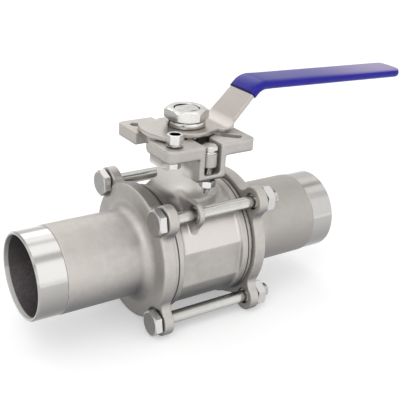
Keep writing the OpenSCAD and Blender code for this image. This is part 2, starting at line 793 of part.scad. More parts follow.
module lever() {
    color(bright_steel) difference() {
        lever_blank();
        translate([0, 0, lever_z - cut]) intersection() {
            cylinder(r = stem_r + fit_clear, h = lever_t + 2 * cut, $fn = fn_big);
            translate([-stem_d, -stem_flats / 2 - fit_clear, 0])
                cube([2 * stem_d, stem_flats + 2 * fit_clear, lever_t + 2 * cut]);
        }
    }
}

// Moulded grip pushed over the blade
module lever_grip() {
    color(grip_blue) difference() {
        intersection() {
            across() grip_side(lever_t + 2 * grip_wall);
            linear_extrude(grip_z + 20) blade_outline(bend_x, arm_w + 2 * grip_wall,
                blade_w + 2 * grip_wall, lever_l, tip_r + grip_wall);
        }
        lever_blank();
    }
}

// Split spring washer with a slanted gap
module spring_washer() {
    color(bright_steel) translate([0, 0, lever_top]) difference() {
        cylinder(d = spring_d, h = spring_h, $fn = fn_big);
        translate([0, 0, -cut]) cylinder(r = stem_r + fit_clear, h = spring_h + 2 * cut, $fn = fn_big);
        rotate(spring_turn) translate([stem_r / 2, 0, spring_h / 2]) rotate([spring_slant, 0, 0])
            translate([0, -spring_split / 2, -spring_h]) cube([spring_d, spring_split, 2 * spring_h]);
    }
}

module stem_nut() {
    color(bright_steel) translate([0, 0, spring_top])
        rotate(stem_nut_turn) hex_head(stem_nut_af, stem_nut_h, stem_d + 2 * fit_clear, true);
}

// Hollow-headed hexagon screw that the lever comes to rest against
module stop_screw() {
    color(bright_steel) translate([-stop_xy, -stop_xy, 0]) {
        difference() {
            translate([0, 0, pad_z]) rotate(45) hex_head(stop_af, stop_h);
            translate([0, 0, pad_z + stop_h - stop_hollow_l])
                cylinder(d = stop_hollow_d, h = stop_hollow_l + cut, $fn = fn_small);
        }
        translate([0, 0, pad_z + cut]) mirror([0, 0, 1])
            rod(stop_d, pad_t + stop_nut_h + 2 * cut);
    }
}

module stop_nut() {
    color(bright_steel) translate([-stop_xy, -stop_xy, pad_under_z]) mirror([0, 0, 1])
        rotate(45) hex_head(stop_nut_af, stop_nut_h, stop_d + 2 * fit_clear);
}

// Body bolts: heads on the near cap, reduced shanks, threads through the far ears
module body_bolts() {
    thread_x = cap_x - 4;
    tip_x = nut_x + bolt_end_l;
    color(bright_steel) on_bolt_axes() {
        translate([-ear_x, 0, 0]) rotate([0, -90, 0]) rotate(bolt_head_turn)
            hex_head(bolt_af, bolt_head_h);
        x_cylinder(shank_d / 2, -ear_x - cut, thread_x + cut);
        translate([thread_x, 0, 0]) rotate([0, 90, 0]) rod(bolt_d, tip_x - thread_x, 1);
    }
}

module body_nuts() {
    color(bright_steel) on_bolt_axes()
        translate([ear_x, 0, 0]) rotate([0, 90, 0]) rotate(body_nut_turn)
            hex_head(bolt_af, body_nut_h, bolt_d + 2 * fit_clear);
}

body();
left_cap();
right_cap();
left_gasket();
right_gasket();
left_seat();
right_seat();
ball();
stem();
stem_o_ring();
thrust_washer();
packing_rings();
gland();
gland_bolts();
gland_washers();
gland_nuts();
lever();
lever_grip();
spring_washer();
stem_nut();
stop_screw();
stop_nut();
body_bolts();
body_nuts();
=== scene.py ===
"""Looks of a three-piece ball valve with long weld ends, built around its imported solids."""
import json
import math

import bmesh
import bpy
from bpy.props import FloatProperty, FloatVectorProperty, PointerProperty
from mathutils import Matrix, Vector


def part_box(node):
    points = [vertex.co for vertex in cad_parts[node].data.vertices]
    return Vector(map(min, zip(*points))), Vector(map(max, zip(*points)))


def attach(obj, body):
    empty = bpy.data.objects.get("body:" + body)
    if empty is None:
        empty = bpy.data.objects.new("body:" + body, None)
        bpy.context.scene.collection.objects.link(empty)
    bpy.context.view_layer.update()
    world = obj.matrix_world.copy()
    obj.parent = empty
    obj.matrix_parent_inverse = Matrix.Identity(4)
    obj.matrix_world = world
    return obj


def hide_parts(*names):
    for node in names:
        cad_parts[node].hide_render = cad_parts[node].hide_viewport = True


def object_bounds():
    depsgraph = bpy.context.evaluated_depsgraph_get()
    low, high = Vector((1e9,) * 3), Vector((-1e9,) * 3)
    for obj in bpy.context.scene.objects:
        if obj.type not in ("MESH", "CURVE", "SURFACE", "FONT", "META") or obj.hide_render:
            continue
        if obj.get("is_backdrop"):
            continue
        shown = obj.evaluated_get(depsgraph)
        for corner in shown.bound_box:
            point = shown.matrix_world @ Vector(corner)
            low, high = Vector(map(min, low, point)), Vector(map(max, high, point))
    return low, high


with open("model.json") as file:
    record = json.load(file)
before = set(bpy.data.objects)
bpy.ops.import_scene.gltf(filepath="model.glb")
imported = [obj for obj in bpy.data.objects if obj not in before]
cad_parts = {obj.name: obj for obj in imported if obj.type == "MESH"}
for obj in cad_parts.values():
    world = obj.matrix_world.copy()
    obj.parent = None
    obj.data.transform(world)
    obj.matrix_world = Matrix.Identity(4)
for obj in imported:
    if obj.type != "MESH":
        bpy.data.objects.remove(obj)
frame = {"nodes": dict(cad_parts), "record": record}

bl_info = {
    "name": "Ball valve dressing",
    "version": (1, 0, 0),
    "blender": (4, 5, 0),
    "location": "3D Viewport > Sidebar > Valve",
    "description": "Dresses the packed solids of a ball valve with castings, threads and finishes",
    "category": "Object",
}

MM = 0.001


# Settings

def length(name, description, millimetres):
    """A length property whose default is given in millimetres."""
    return FloatProperty(name=name, description=description, default=millimetres * MM,
                         unit="LENGTH", subtype="DISTANCE", precision=5)


def colour(name, description, rgb):
    """A colour property."""
    return FloatVectorProperty(name=name, description=description, default=rgb,
                               subtype="COLOR", size=3, min=0.0, max=1.0)


def share(name, description, value):
    """A share between nothing and all."""
    return FloatProperty(name=name, description=description, default=value,
                         min=0.0, max=1.0, subtype="FACTOR")


def angle(name, description, degrees):
    """An angle property whose default is given in degrees."""
    return FloatProperty(name=name, description=description, default=math.radians(degrees),
                         unit="ROTATION", subtype="ANGLE")


class VALVE_PG_view(bpy.types.PropertyGroup):
    """Camera, floor and studio lights."""
    camera_at: FloatVectorProperty(
        name="Camera place", description="Where the camera stands, in the valve's own frame",
        default=(-295.5 * MM, -436.7 * MM, 261.1 * MM), subtype="TRANSLATION", unit="LENGTH")
    camera_yaw: angle("Camera yaw", "Turn of the camera from the far side towards the flow", 35.5)
    camera_pitch: angle("Camera pitch", "How far the camera looks down", 23.54)
    camera_roll: angle("Camera roll", "Lean of the camera to one side", -3.71)
    camera_lens: FloatProperty(name="Lens", description="Focal length on a 36 mm sensor",
                               default=72.4, unit="CAMERA")
    floor_size: length("Floor size", "Side of the square studio floor", 9000.0)
    floor_colour: colour("Floor colour", "Paint of the studio floor", (0.66, 0.66, 0.66))
    floor_glow: share("Floor glow", "Light of the lit table that softens shadows", 0.37)


class VALVE_PG_finishes(bpy.types.PropertyGroup):
    """Colours of the metals and plastics."""
    casting: colour("Casting", "Blasted investment-cast stainless steel", (0.54, 0.513, 0.487))
    # The bore colour also paints the shade in the bores and bolt holes and on the castings' tops.
    bore: colour("Bores", "Dark rough walls of the pipe bores", (0.3, 0.28, 0.285))
    turned: colour("Turned steel", "Machined and polished weld ends", (0.62, 0.61, 0.59))
    bright: colour("Bright steel", "Nuts, bolts and washers", (0.74, 0.73, 0.71))
    shank: colour("Bolt shanks", "Plain drawn shanks of the body bolts", (0.62, 0.61, 0.58))
    plate: colour("Lever plate", "Rolled and brushed plate", (0.51, 0.47, 0.437))
    vinyl: colour("Grip vinyl", "Dipped glossy grip", (0.009, 0.007, 0.24))
    seal: colour("Seal plastic", "White sealing plastic", (0.82, 0.81, 0.78))
    # The rubber colour also paints the shade in the joints, at the bolt seats and in the stop screw.
    rubber: colour("Rubber", "Black sealing rubber", (0.02, 0.02, 0.02))


class VALVE_PG_forms(bpy.types.PropertyGroup):
    """Sizes of the castings, the weld ends and the grip."""
    cast_grid: length("Casting grid", "Cell size that the large castings are rebuilt at", 0.75)
    gland_grid: length("Gland grid", "Cell size that the gland is rebuilt at", 0.45)
    plate_grid: length("Plate grid", "Cell size that the lever plate is rebuilt at", 0.5)
    band_l: length("Band length", "Length of the turned band of each weld end", 20.0)
    band_bevel: length("Band bevel", "Bevel of the outer edge of each weld end", 1.0)
    band_burr: length("Inner edge", "Bevel of the inner edge of each weld end", 0.15)
    mouth_l: length("Mouth length", "Depth of the bright mouth of each bore", 3.0)
    plate_half: length("Half plate", "Half the thickness of the lever plate", 1.6)
    grip_bend_x: length("Lower bend", "Distance from the stem axis to the lever's lower bend", 27.0)
    grip_rise: length("Rise", "Height of the grip's middle over the plate's middle", 26.2)
    rise_angle: angle("Rise angle", "Slope of the lever between its two bends", 45.0)
    grip_slope: angle("Grip slope", "Slope of the grip, seen from the side", -1.8)
    grip_bend_r: length("Upper bend radius", "Radius of the grip's middle line at its bend", 12.5)
    grip_thick: length("Grip thickness", "Thickness of the grip", 6.8)
    grip_arm_w: length("Grip start width", "Width of the grip where it starts", 27.8)
    grip_blade_w: length("Grip width", "Width of the grip along its straight part", 25.6)
    grip_taper: length("Grip taper", "Length over which the grip narrows after its bend", 12.0)
    grip_tip_r: length("Tip rounding", "Corner radius of the grip's tip, seen from above", 5.4)
    grip_start: length("Grip start", "Distance down the rise that the grip covers", 9.3)
    grip_lip: length("Grip lip", "Length over which the grip's open end rounds off", 1.2)


class VALVE_PG_fasteners(bpy.types.PropertyGroup):
    """Sizes of the bolts, nuts, screws and washers."""
    hex_round: length("Corner rounding", "Rounding of the corners of nuts and heads", 0.35)
    hex_lip: length("Hole bevel", "Bevel of the holes of nuts and heads", 0.35)
    seat_face: length("Seat face", "Height of the round face under a bolt head", 1.1)
    thread_gap: length("Thread gap", "Gap between a thread and what it passes through", 0.05)
    head_bite: length("Head overlap", "How far a rod reaches into its head", 0.5)
    body_af: length("Body bolt flats", "Width across flats of the body bolts and nuts", 17.0)
    body_bolt_r: length("Body bolt radius", "Radius of the body bolts' threads", 5.0)
    body_bolt_end: length("Body bolt end", "Threaded end beyond each body nut", 6.0)
    body_bolt_pitch: length("Body bolt pitch", "Thread pitch of the body bolts", 1.5)
    body_head_turn: angle("Body head turn", "Direction of a corner of the body bolt heads", 10.0)
    body_nut_turn: angle("Body nut turn", "Direction of a corner of the body nuts", 4.0)
    thread_start: length("Thread start", "Plain shank beyond the far cap's inner face", 4.5)
    shank_r: length("Shank radius", "Radius of the plain shank of the body bolts", 4.3)
    shank_flare: length("Shank flare", "Widening of the shank under its head", 0.6)
    shank_flare_l: length("Flare length", "Length of that widening", 0.8)
    small_af: length("Small flats", "Width across flats of gland bolts and stop screw", 10.0)
    small_bolt_r: length("Small bolt radius", "Radius of the same bolts' threads", 3.0)
    small_bolt_pitch: length("Small bolt pitch", "Thread pitch of the same bolts", 1.0)
    gland_head_turn: angle("Gland head turn", "Direction of a corner of the gland bolt heads", 12.0)
    gland_nut_turn: angle("Gland nut turn", "Direction of a corner of the gland nuts", 20.0)
    gland_washer_edge: length("Gland washer edge", "Bevel of the gland washers", 0.25)
    stop_turn: angle("Stop screw turn", "Direction of a corner of the stop screw and its nut", 27.0)
    stop_hollow_r: length("Stop hollow radius", "Radius of the hollow in the stop screw", 3.7)
    stop_hollow_l: length("Stop hollow depth", "Depth of the hollow in the stop screw", 6.0)
    collar_h: length("Collar height", "Height of the collar under the stop screw's head", 1.3)
    stop_nut_af: length("Stop nut flats", "Width across flats of the nut under the pad", 8.6)
    stop_nut_h: length("Stop nut height", "Height of the nut under the pad", 6.5)
    stem_r: length("Stem radius", "Radius of the stem's thread", 9.0)
    stem_nut_af: length("Stem nut flats", "Width across flats of the stem nut", 27.0)
    stem_nut_turn: angle("Stem nut turn", "Direction of a corner of the stem nut", 32.0)
    washer_edge: length("Washer edge", "Rounding of the edges of the spring washer", 0.8)
    split_angle: angle("Split direction", "Where the spring washer is split", 176.0)
    split_width: length("Split width", "Gap of the split spring washer", 1.9)
    split_slant: angle("Split slant", "Lean of the split in the spring washer", 12.0)


def view_settings():
    return bpy.context.scene.valve_view


def form_settings():
    return bpy.context.scene.valve_forms


def fastener_settings():
    return bpy.context.scene.valve_fasteners


def finish_settings():
    return bpy.context.scene.valve_finishes


# Shader maths

NOISE_ROUGHNESS = 0.55


class Wire:
    """A shader value. Sums, products and comparisons of wires and numbers add Math nodes."""

    def __init__(self, shader, socket):
        self.shader = shader
        self.socket = socket

    def maths(self, operation, *values, clamp=False):
        settings = {"operation": operation, "use_clamp": clamp}
        return self.shader.node("ShaderNodeMath", settings, dict(enumerate(values)))

    def __add__(self, other):
        return self.maths("ADD", self, other)

    def __radd__(self, other):
        return self.maths("ADD", other, self)

    def __sub__(self, other):
        return self.maths("SUBTRACT", self, other)

    def __rsub__(self, other):
        return self.maths("SUBTRACT", other, self)

    def __mul__(self, other):
        return self.maths("MULTIPLY", self, other)

    def __rmul__(self, other):
        return self.maths("MULTIPLY", other, self)

    def __gt__(self, other):
        return self.maths("GREATER_THAN", self, other)

    def __lt__(self, other):
        return self.maths("LESS_THAN", self, other)

    def __abs__(self):
        return self.maths("ABSOLUTE", self)

    def root(self):
        return self.maths("SQRT", self)

    def clamped(self):
        return self.maths("ADD", self, 0.0, clamp=True)

    def smooth_step(self, low, high):
        """Nothing below low, one above high, and a smooth rise between them."""
        return self.shader.node(
            "ShaderNodeMapRange", {"interpolation_type": "SMOOTHSTEP"},
            {"Value": self, "From Min": low, "From Max": high})

    def smooth_drop(self, low, high):
        """One below low, nothing above high, and a smooth fall between them."""
        return 1.0 - self.smooth_step(low, high)


class Shader:
    """One material or world, whose nodes are made through node()."""

    def __init__(self, owner):
        self.owner = bpy.data.materials.new(owner) if isinstance(owner, str) else owner
        self.owner.use_nodes = True
        self.tree = self.owner.node_tree
        self.tree.nodes.clear()

    def node(self, kind, settings=None, inputs=None, output=0):
        """Makes a node, sets it up, feeds its sockets, and returns one of its outputs."""
        made = self.tree.nodes.new(kind)
        for key, value in (settings or {}).items():
            if key == "stops":
                self.set_stops(made.color_ramp, value)
            else:
                setattr(made, key, value)
        for key, value in (inputs or {}).items():
            if isinstance(value, Wire):
                self.tree.links.new(value.socket, made.inputs[key])
            else:
                made.inputs[key].default_value = value
        return Wire(self, made.outputs[output]) if made.outputs else made

    @staticmethod
    def set_stops(ramp, stops):
        """Sets a ramp's stops to places and shades of grey."""
        while len(ramp.elements) < len(stops):
            ramp.elements.new(0.5)
        for element, (place, value) in zip(ramp.elements, stops):
            element.position = place
            element.color = (value, value, value, 1.0)

    def place(self):
        """Position in the piece's own frame, in metres."""
        return self.node("ShaderNodeTexCoord", output="Object")

    def parts(self, vector):
        """The three numbers of a vector."""
        split = self.node("ShaderNodeSeparateXYZ", None, {0: vector})
        outputs = split.socket.node.outputs
        return [Wire(self, outputs[i]) for i in range(3)]

    def facing(self):
        """The three numbers of the surface's direction."""
        return self.parts(self.node("ShaderNodeNewGeometry", output="Normal"))

    def noise(self, vector, size, detail):
        """Noise between 0 and 1 whose lumps are about size metres across."""
        return self.node("ShaderNodeTexNoise", None,
                         {"Vector": vector, "Scale": 1.0 / size, "Detail": detail,
                          "Roughness": NOISE_ROUGHNESS})

    def stretched(self, vector, scales):
        """The vector with each of its numbers multiplied."""
        return self.node("ShaderNodeVectorMath", {"operation": "MULTIPLY"},
                         {0: vector, 1: scales})

    def mixed(self, factor, a, b):
        """A colour between a and b."""
        a, b = (tuple(c) + (1.0,) if isinstance(c, tuple) and len(c) == 3 else c for c in (a, b))
        return self.node("ShaderNodeMix", {"data_type": "RGBA"}, {0: factor, 6: a, 7: b}, 2)

    def rounded(self, radius):
        """Surface direction with its edges eased over a radius."""
        return self.node("ShaderNodeBevel", {"samples": 4}, {"Radius": radius})

    def bump(self, height, distance, strength, normal=None):
        """Surface direction tilted by a height."""
        inputs = {"Height": height, "Distance": distance, "Strength": strength}
        if normal is not None:
            inputs["Normal"] = normal
        return self.node("ShaderNodeBump", None, inputs)

    def surface(self, constants=None, **wires):
        """Closes the material with one physical shader."""
        names = {"base": "Base Color", "roughness": "Roughness", "metallic": "Metallic",
                 "coat": "Coat Weight", "normal": "Normal"}
        inputs = {names[key]: value for key, value in wires.items()}
        inputs.update(constants or {})
        closed = self.node("ShaderNodeBsdfPrincipled", None, inputs)
        self.node("ShaderNodeOutputMaterial", None, {"Surface": closed})
        return self.owner


def tinted(rgb, gain):
    """A colour made lighter or darker."""
    return tuple(min(1.0, channel * gain) for channel in rgb)


def paint(name, gain=1.0):
    """One of the finishes' colours, made lighter or darker."""
    return tinted(getattr(finish_settings(), name), gain)


# Masks. A pair of figures says where a mask starts and where it ends its fade.

BORE_DEPTH = (1.4 * MM, 1.0 * MM)
NECK_SIDE = (23 * MM, 31 * MM)
NECK_FOOT = (42 * MM, 50 * MM)
NECK_TOP = (61 * MM, 66 * MM)
JOINT_SHIFT = 0.25 * MM
JOINT_WIDTH = (0.45 * MM, 0.7 * MM)
JOINT_INNER_R = 39 * MM
JOINT_OUTER_R = 47 * MM
CROWN_UP = (0.2, 0.55)
CROWN_START = (-41.5 * MM, -40 * MM)
CROWN_END = (-17 * MM, -5 * MM)
CROWN_LOW = (26 * MM, 33 * MM)
CROWN_SIDE_FADE = 6 * MM
CROWN_RIM_FADE = 2 * MM
CROWN_ON_BODY = {"reach": 45 * MM, "spread": 31 * MM}
CROWN_ON_CAP = {"reach": 50 * MM, "spread": 26 * MM}
BARREL_ENDS = (22.5 * MM, 24 * MM)
BARREL_LOW = (10.7 * MM, 11.3 * MM)
BARREL_TOP = (24 * MM, 32 * MM)
FLANGE_ENDS = (44 * MM, 52 * MM)
FLANGE_FACE = (0.6, 0.9)
LOW_SHADE_TOP = (-36 * MM, -12 * MM)
LOW_SHADE_FALL = 0.65
FAR_END = (48 * MM, 62 * MM)
BOLT_HOLE_EDGE = (5.7 * MM, 5.95 * MM)
HOLLOW_RIM = 0.5 * MM
COLLAR_FOOT = 0.3 * MM
HEAD_SEAT_FADE = 0.2 * MM


def distance(a, b):
    """Length of the diagonal between two sides."""
    return (a * a + b * b).root()


def facing_down(s, low=-0.75, high=0.28):
    """One on surfaces that face the floor, zero on those that face sideways or up. The finishes paint
    shade with it.
    """
    return s.facing()[2].smooth_drop(low, high)


def radius_about_x(s, at):
    """Distance from the axis of the pipes."""
    x, y, z = s.parts(at)
    return distance(y, z)


def bore_mask(s, at):
    """One on the walls of the pipe bores, zero outside them."""
    outer_r = mount("outlet_weld_end")["dims"]["r_mm"] * MM
    start, end = BORE_DEPTH
    return radius_about_x(s, at).smooth_drop(outer_r - start, outer_r - end)


def neck_light_mask(s, at):
    """One on the neck and its flared foot, where light is painted, fading out over the barrel and the
    columns.
    """
    x, y, z = s.parts(at)
    near = distance(x, y).smooth_drop(*NECK_SIDE)
    return near * z.smooth_step(*NECK_FOOT) * z.smooth_drop(*NECK_TOP)


def joint_shade_mask(s, at):
    """One in the joints between the centre casting and the caps, where shade is painted."""
    x = s.parts(at)[0]
    gap = abs(abs(x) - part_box("right_cap")[0].x + JOINT_SHIFT)
    radius = radius_about_x(s, at)
    rim = (radius > JOINT_INNER_R) * (radius < JOINT_OUTER_R)
    return gap.smooth_drop(*JOINT_WIDTH) * rim


def crown_shade_mask(s, at, reach, spread):
    """One on top, from the neck to the near cap, within a radius and a width, where shade is painted.
    """
    x, y, z = s.parts(at)
    up = s.facing()[2].smooth_step(*CROWN_UP)
    near = x.smooth_drop(*CROWN_END) * x.smooth_step(*CROWN_START)
    middle = abs(y).smooth_drop(spread, spread + CROWN_SIDE_FADE)
    inner = radius_about_x(s, at).smooth_drop(reach, reach + CROWN_RIM_FADE)
    return up * near * middle * inner * z.smooth_step(*CROWN_LOW)


def barrel_mask(s, at):
    """One on the barrel between the two rings, above its machined flats, where the casting is made
    smoother and light is painted.
    """
    x, y, z = s.parts(at)
    between = abs(x).smooth_drop(*BARREL_ENDS)
    return between * z.smooth_step(*BARREL_LOW) * z.smooth_drop(*BARREL_TOP)


def low_flange_shade(s, at):
    """One on the lower half of a cap's flange, where shade is painted, fading up to its middle."""
    x, y, z = s.parts(at)
    flange = abs(x).smooth_drop(*FLANGE_ENDS)
    face = abs(s.facing()[0]).smooth_step(*FLANGE_FACE)
    return flange * face * (1.0 - z.smooth_step(*LOW_SHADE_TOP) * LOW_SHADE_FALL)


def bolt_centre():
    """How far the body bolts lie from the axis of the pipes, both sideways and up or down."""
    sizes = fastener_settings()
    corner_r = sizes.body_af / 2 / math.cos(math.radians(30))
    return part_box("body_nuts")[1].z - corner_r * math.cos(sizes.body_nut_turn)


def bolt_hole_mask(s, at):
    """One on the walls of the four bolt holes, zero outside them."""
    x, y, z = s.parts(at)
    centre = bolt_centre()
    return distance(abs(y) - centre, abs(z) - centre).smooth_drop(*BOLT_HOLE_EDGE)


def screw_shade_mask(s, at):
    """One in the hollow of the stop screw and at its foot, where shade is painted."""
    sizes = fastener_settings()
    low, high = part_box("stop_screw")
    x, y, z = s.parts(at)
    radius = distance(x - (low.x + high.x) / 2, y - (low.y + high.y) / 2)
    hollow = (radius < sizes.stop_hollow_r + sizes.thread_gap) * (z < high.z - HOLLOW_RIM)
    collar_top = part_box("body")[1].z + sizes.collar_h
    return (hollow + z.smooth_drop(collar_top - COLLAR_FOOT, collar_top)).clamped()


# Finishes. First come the colours of painted shade and of a painted sheen, where the sheen lies, and
# how deep the castings' grain is.

UNDERSIDE_SHADE_COLOUR = (0.1, 0.104, 0.114)
TOP_SHEEN_COLOUR = (0.42, 0.34, 0.5)
TOP_SHEEN_UP = (0.5, 0.95)
TOP_SHEEN_BEND = (56 * MM, 74 * MM)
TOP_SHEEN_TIP = (95 * MM, 190 * MM)
GRIP_LIP = (0.7 * MM, 1.1 * MM)
CAST_BUMP = 0.16 * MM
CAST_BUMP_STRENGTH = 0.6
BORE_ROUGH = 0.5


def cast_skin(s, at):
    """Colour, roughness and height of a blasted casting, with painted shade where it faces down."""
    base = paint("casting")
    grain = s.noise(at, 0.9 * MM, 2.0)
    lumps = s.noise(at, 5.0 * MM, 3.0)
    stains = s.noise(at, 24 * MM, 2.0)
    shade = (lumps * 0.5 + stains * 0.5).smooth_step(0.3, 0.7)
    tone = s.mixed(shade, tinted(base, 0.92), tinted(base, 1.08))
    warmth = s.noise(at, 45 * MM, 1.0).smooth_step(0.4, 0.6)
    tone = s.mixed(warmth * 0.35, tone, (base[0], base[1] * 1.01, base[2] * 0.95))
    # Painted shade: surfaces that face down are darkened.
    tone = s.mixed(facing_down(s) * 0.85, tone, UNDERSIDE_SHADE_COLOUR)
    rough = 0.44 + grain * 0.1 + stains * 0.08
    return tone, rough, grain * 0.6 + lumps * 0.5


def cast_bump(s, height):
    """Surface direction of a blasted casting."""
    return s.bump(height, CAST_BUMP, CAST_BUMP_STRENGTH)


def bore_shade(s, at):
    """Dark specked colour for the walls of the pipe bores and bolt holes: painted shade inside them.
    """
    base = paint("bore")
    specks = s.noise(at, 1.4 * MM, 3.0)
    return s.mixed(specks.smooth_step(0.3, 0.7), tinted(base, 0.82),
                   (base[0] * 1.22, base[1] * 1.12, base[2] * 1.15))


def cast_finish():
    """Blasted casting."""
    s = Shader("blasted_casting")
    tone, rough, height = cast_skin(s, s.place())
    return s.surface(base=tone, roughness=rough, metallic=1.0, normal=cast_bump(s, height))


def centre_finish():
    """Blasted casting with a neck painted lighter as if lit, a smoother barrel also painted lighter,
    and painted shade on its top and in its joints.
    """
    s = Shader("centre_casting")
    at = s.place()
    tone, rough, height = cast_skin(s, at)
    neck = neck_light_mask(s, at)
    crown_shade = crown_shade_mask(s, at, **CROWN_ON_BODY) * (1.0 - neck)
    barrel = barrel_mask(s, at)
    # Painted shade along the top, towards the near cap.
    tone = s.mixed(crown_shade * 0.85, tone, paint("bore", 0.5))
    # Painted light: the barrel above its flats is lighter.
    tone = s.mixed(barrel * 0.7, tone, paint("casting", 1.3))
    # Painted light: the neck is lighter, and it is also made less metallic.
    tone = s.mixed(neck * 0.9, tone, paint("casting", 1.9))
    # Painted shade in the joints to the caps.
    tone = s.mixed(joint_shade_mask(s, at) * 0.85, tone, paint("rubber"))
    rough = rough * (1.0 - barrel * 0.35)
    return s.surface(base=tone, roughness=rough, metallic=0.85 - neck * 0.6,
                     normal=cast_bump(s, height))


def cap_finish():
    """Blasted casting with rough bores and bolt holes painted dark as shade, and painted shade on its
    top, in its joints, on its low side and at its far end.
    """
    s = Shader("cap_casting")
    at = s.place()
    tone, rough, height = cast_skin(s, at)
    # Painted shade at the far end, more where it faces down.
    far_shade = s.parts(at)[0].smooth_step(*FAR_END) * (0.3 + facing_down(s, -0.2, 0.7) * 0.35)
    inside = (bore_mask(s, at) + bolt_hole_mask(s, at)).clamped()
    tone = s.mixed(far_shade, tone, paint("casting", 0.56))
    # Painted shade in the bores and bolt holes.
    tone = s.mixed(inside, tone, bore_shade(s, at))
    # Painted shade along the top.
    tone = s.mixed(crown_shade_mask(s, at, **CROWN_ON_CAP) * 0.6, tone, paint("bore", 0.6))
    # Painted shade in the joints.
    tone = s.mixed(joint_shade_mask(s, at) * 0.85, tone, paint("rubber"))
    # Painted shade on the lower half of the flange faces.
    tone = s.mixed(low_flange_shade(s, at) * 0.45, tone, paint("casting", 0.2))
    rough = rough * (1.0 - inside) + inside * BORE_ROUGH
    return s.surface({"Metallic": 0.85}, base=tone, roughness=rough, normal=cast_bump(s, height))


def band_finish():
    """Turned weld end with fine lathe lines, a mouth painted lighter as if lit, a rough bore painted
    dark as shade, a painted dark reflection of the horizon and painted shade where it faces down.
    """
    s = Shader("turned_band")
    at = s.place()
    bright = paint("turned")
    lines = s.noise(s.stretched(at, (1.0, 0.02, 0.02)), 0.35 * MM, 2.0)
    smears = s.noise(at, 9 * MM, 2.0)
    mouth_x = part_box("right_cap")[1].x - form_settings().mouth_l
    wall = bore_mask(s, at)
    inside = wall * (abs(s.parts(at)[0]) < mouth_x)
    mouth = wall - inside
    tone = s.mixed(lines * 0.3 + smears * 0.7, tinted(bright, 0.94), tinted(bright, 1.04))
    # Painted shade in the bore.
    tone = s.mixed(inside, tone, bore_shade(s, at))
    # Painted light on the mouth.
    tone = s.mixed(mouth, tone, tinted(bright, 1.25))
    # Painted dark reflection of the horizon, then painted shade where it faces down.
    tone = s.mixed(facing_down(s, 0.17, 0.24) * 0.4, tone, tinted(bright, 0.3))
    tone = s.mixed(facing_down(s) * 0.7, tone, tinted(bright, 0.2))
    rough = (0.14 + lines * 0.04 + smears * 0.04) * (1.0 - inside) + inside * BORE_ROUGH
    return s.surface(base=tone, roughness=rough + mouth * 0.2, metallic=1.0 - mouth * 0.85,
                     normal=s.bump(lines, 0.005 * MM, 0.3))


def bright_finish(name="bright_fasteners", shade_parts=None):
    """Bright machined fasteners with faint handling marks, painted shade where they face down or
    towards the near end, and painted shade where a mask says so.
    """
    s = Shader(name)
    base = paint("bright")
    at = s.place()
    marks = s.noise(at, 1.6 * MM, 2.0)
    smears = s.noise(at, 7 * MM, 2.0)
    near_face_shade = s.facing()[0].smooth_drop(-0.98, -0.8)
    tone = s.mixed(smears.smooth_step(0.3, 0.7), tinted(base, 0.93), tinted(base, 1.07))
    # Painted shade where the fasteners face down.
    tone = s.mixed(facing_down(s, -0.35, 0.1) * 0.7, tone, tinted(base, 0.25))
    # Painted shade on faces towards the near end.
    tone = s.mixed(near_face_shade * 0.8, tone, tinted(base, 0.42))
    if shade_parts is not None:
        # Painted shade where the mask says so.
        tone = s.mixed(shade_parts(s, at) * 0.9, tone, paint("rubber"))
    return s.surface(base=tone, roughness=0.12 + marks * 0.05 + smears * 0.05, metallic=1.0,
                     normal=s.bump(marks, 0.02 * MM, 0.3, s.rounded(0.3 * MM)))


def stop_finish():
    """Bright stop screw, with painted shade in its hollow and where it meets the pad."""
    return bright_finish("stop_screw_steel", screw_shade_mask)


def head_finish():
    """Body bolt heads and nuts: bright flanks, a duller forged end face, and painted shade underneath,
    on the lower end faces and at the seat.
    """
    s = Shader("forged_heads")
    base = paint("bright")
    at = s.place()
    x, y, z = s.parts(at)
    marks = s.noise(at, 1.6 * MM, 2.0)
    pits = s.noise(at, 3.5 * MM, 3.0)
    end_face = s.facing()[0].smooth_drop(-0.97, -0.9)
    seat_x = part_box("body_nuts")[0].x + fastener_settings().seat_face
    seat = abs(x).smooth_drop(seat_x, seat_x + HEAD_SEAT_FADE)
    forged = s.mixed(pits, tinted(base, 0.36), tinted(base, 0.53))
    tone = s.mixed(end_face, tinted(base, 0.92), forged)
    # Painted shade where they face down, and on the lower heads' end faces.
    tone = s.mixed(facing_down(s, -0.5, 0.15) * 0.75, tone, tinted(base, 0.22))
    tone = s.mixed(end_face * (z < 0.0) * 0.5, tone, tinted(base, 0.2))
    # Painted shade at the seat.
    tone = s.mixed(seat * 0.9, tone, paint("rubber"))
    rough = 0.28 + marks * 0.06 + end_face * 0.08
    return s.surface(base=tone, roughness=rough, metallic=1.0,
                     normal=s.bump(marks + pits, 0.04 * MM, 0.4, s.rounded(0.3 * MM)))


def shank_finish():
    """Drawn bolt shanks: duller than the heads, with faint lines along them and painted shade
    underneath.
    """
    s = Shader("drawn_shanks")
    base = paint("shank")
    at = s.place()
    drawn = s.noise(s.stretched(at, (0.03, 1.0, 1.0)), 0.6 * MM, 2.0)
    stains = s.noise(at, 8 * MM, 2.0)
    tone = s.mixed(drawn * 0.4 + stains * 0.6, tinted(base, 0.85), tinted(base, 1.25))
    # Painted shade underneath.
    tone = s.mixed(facing_down(s, -0.85, -0.08) * 0.85, tone, tinted(base, 0.15))
    return s.surface(base=tone, roughness=0.16 + drawn * 0.08 + stains * 0.05, metallic=1.0,
                     normal=s.bump(drawn, 0.02 * MM, 0.4))


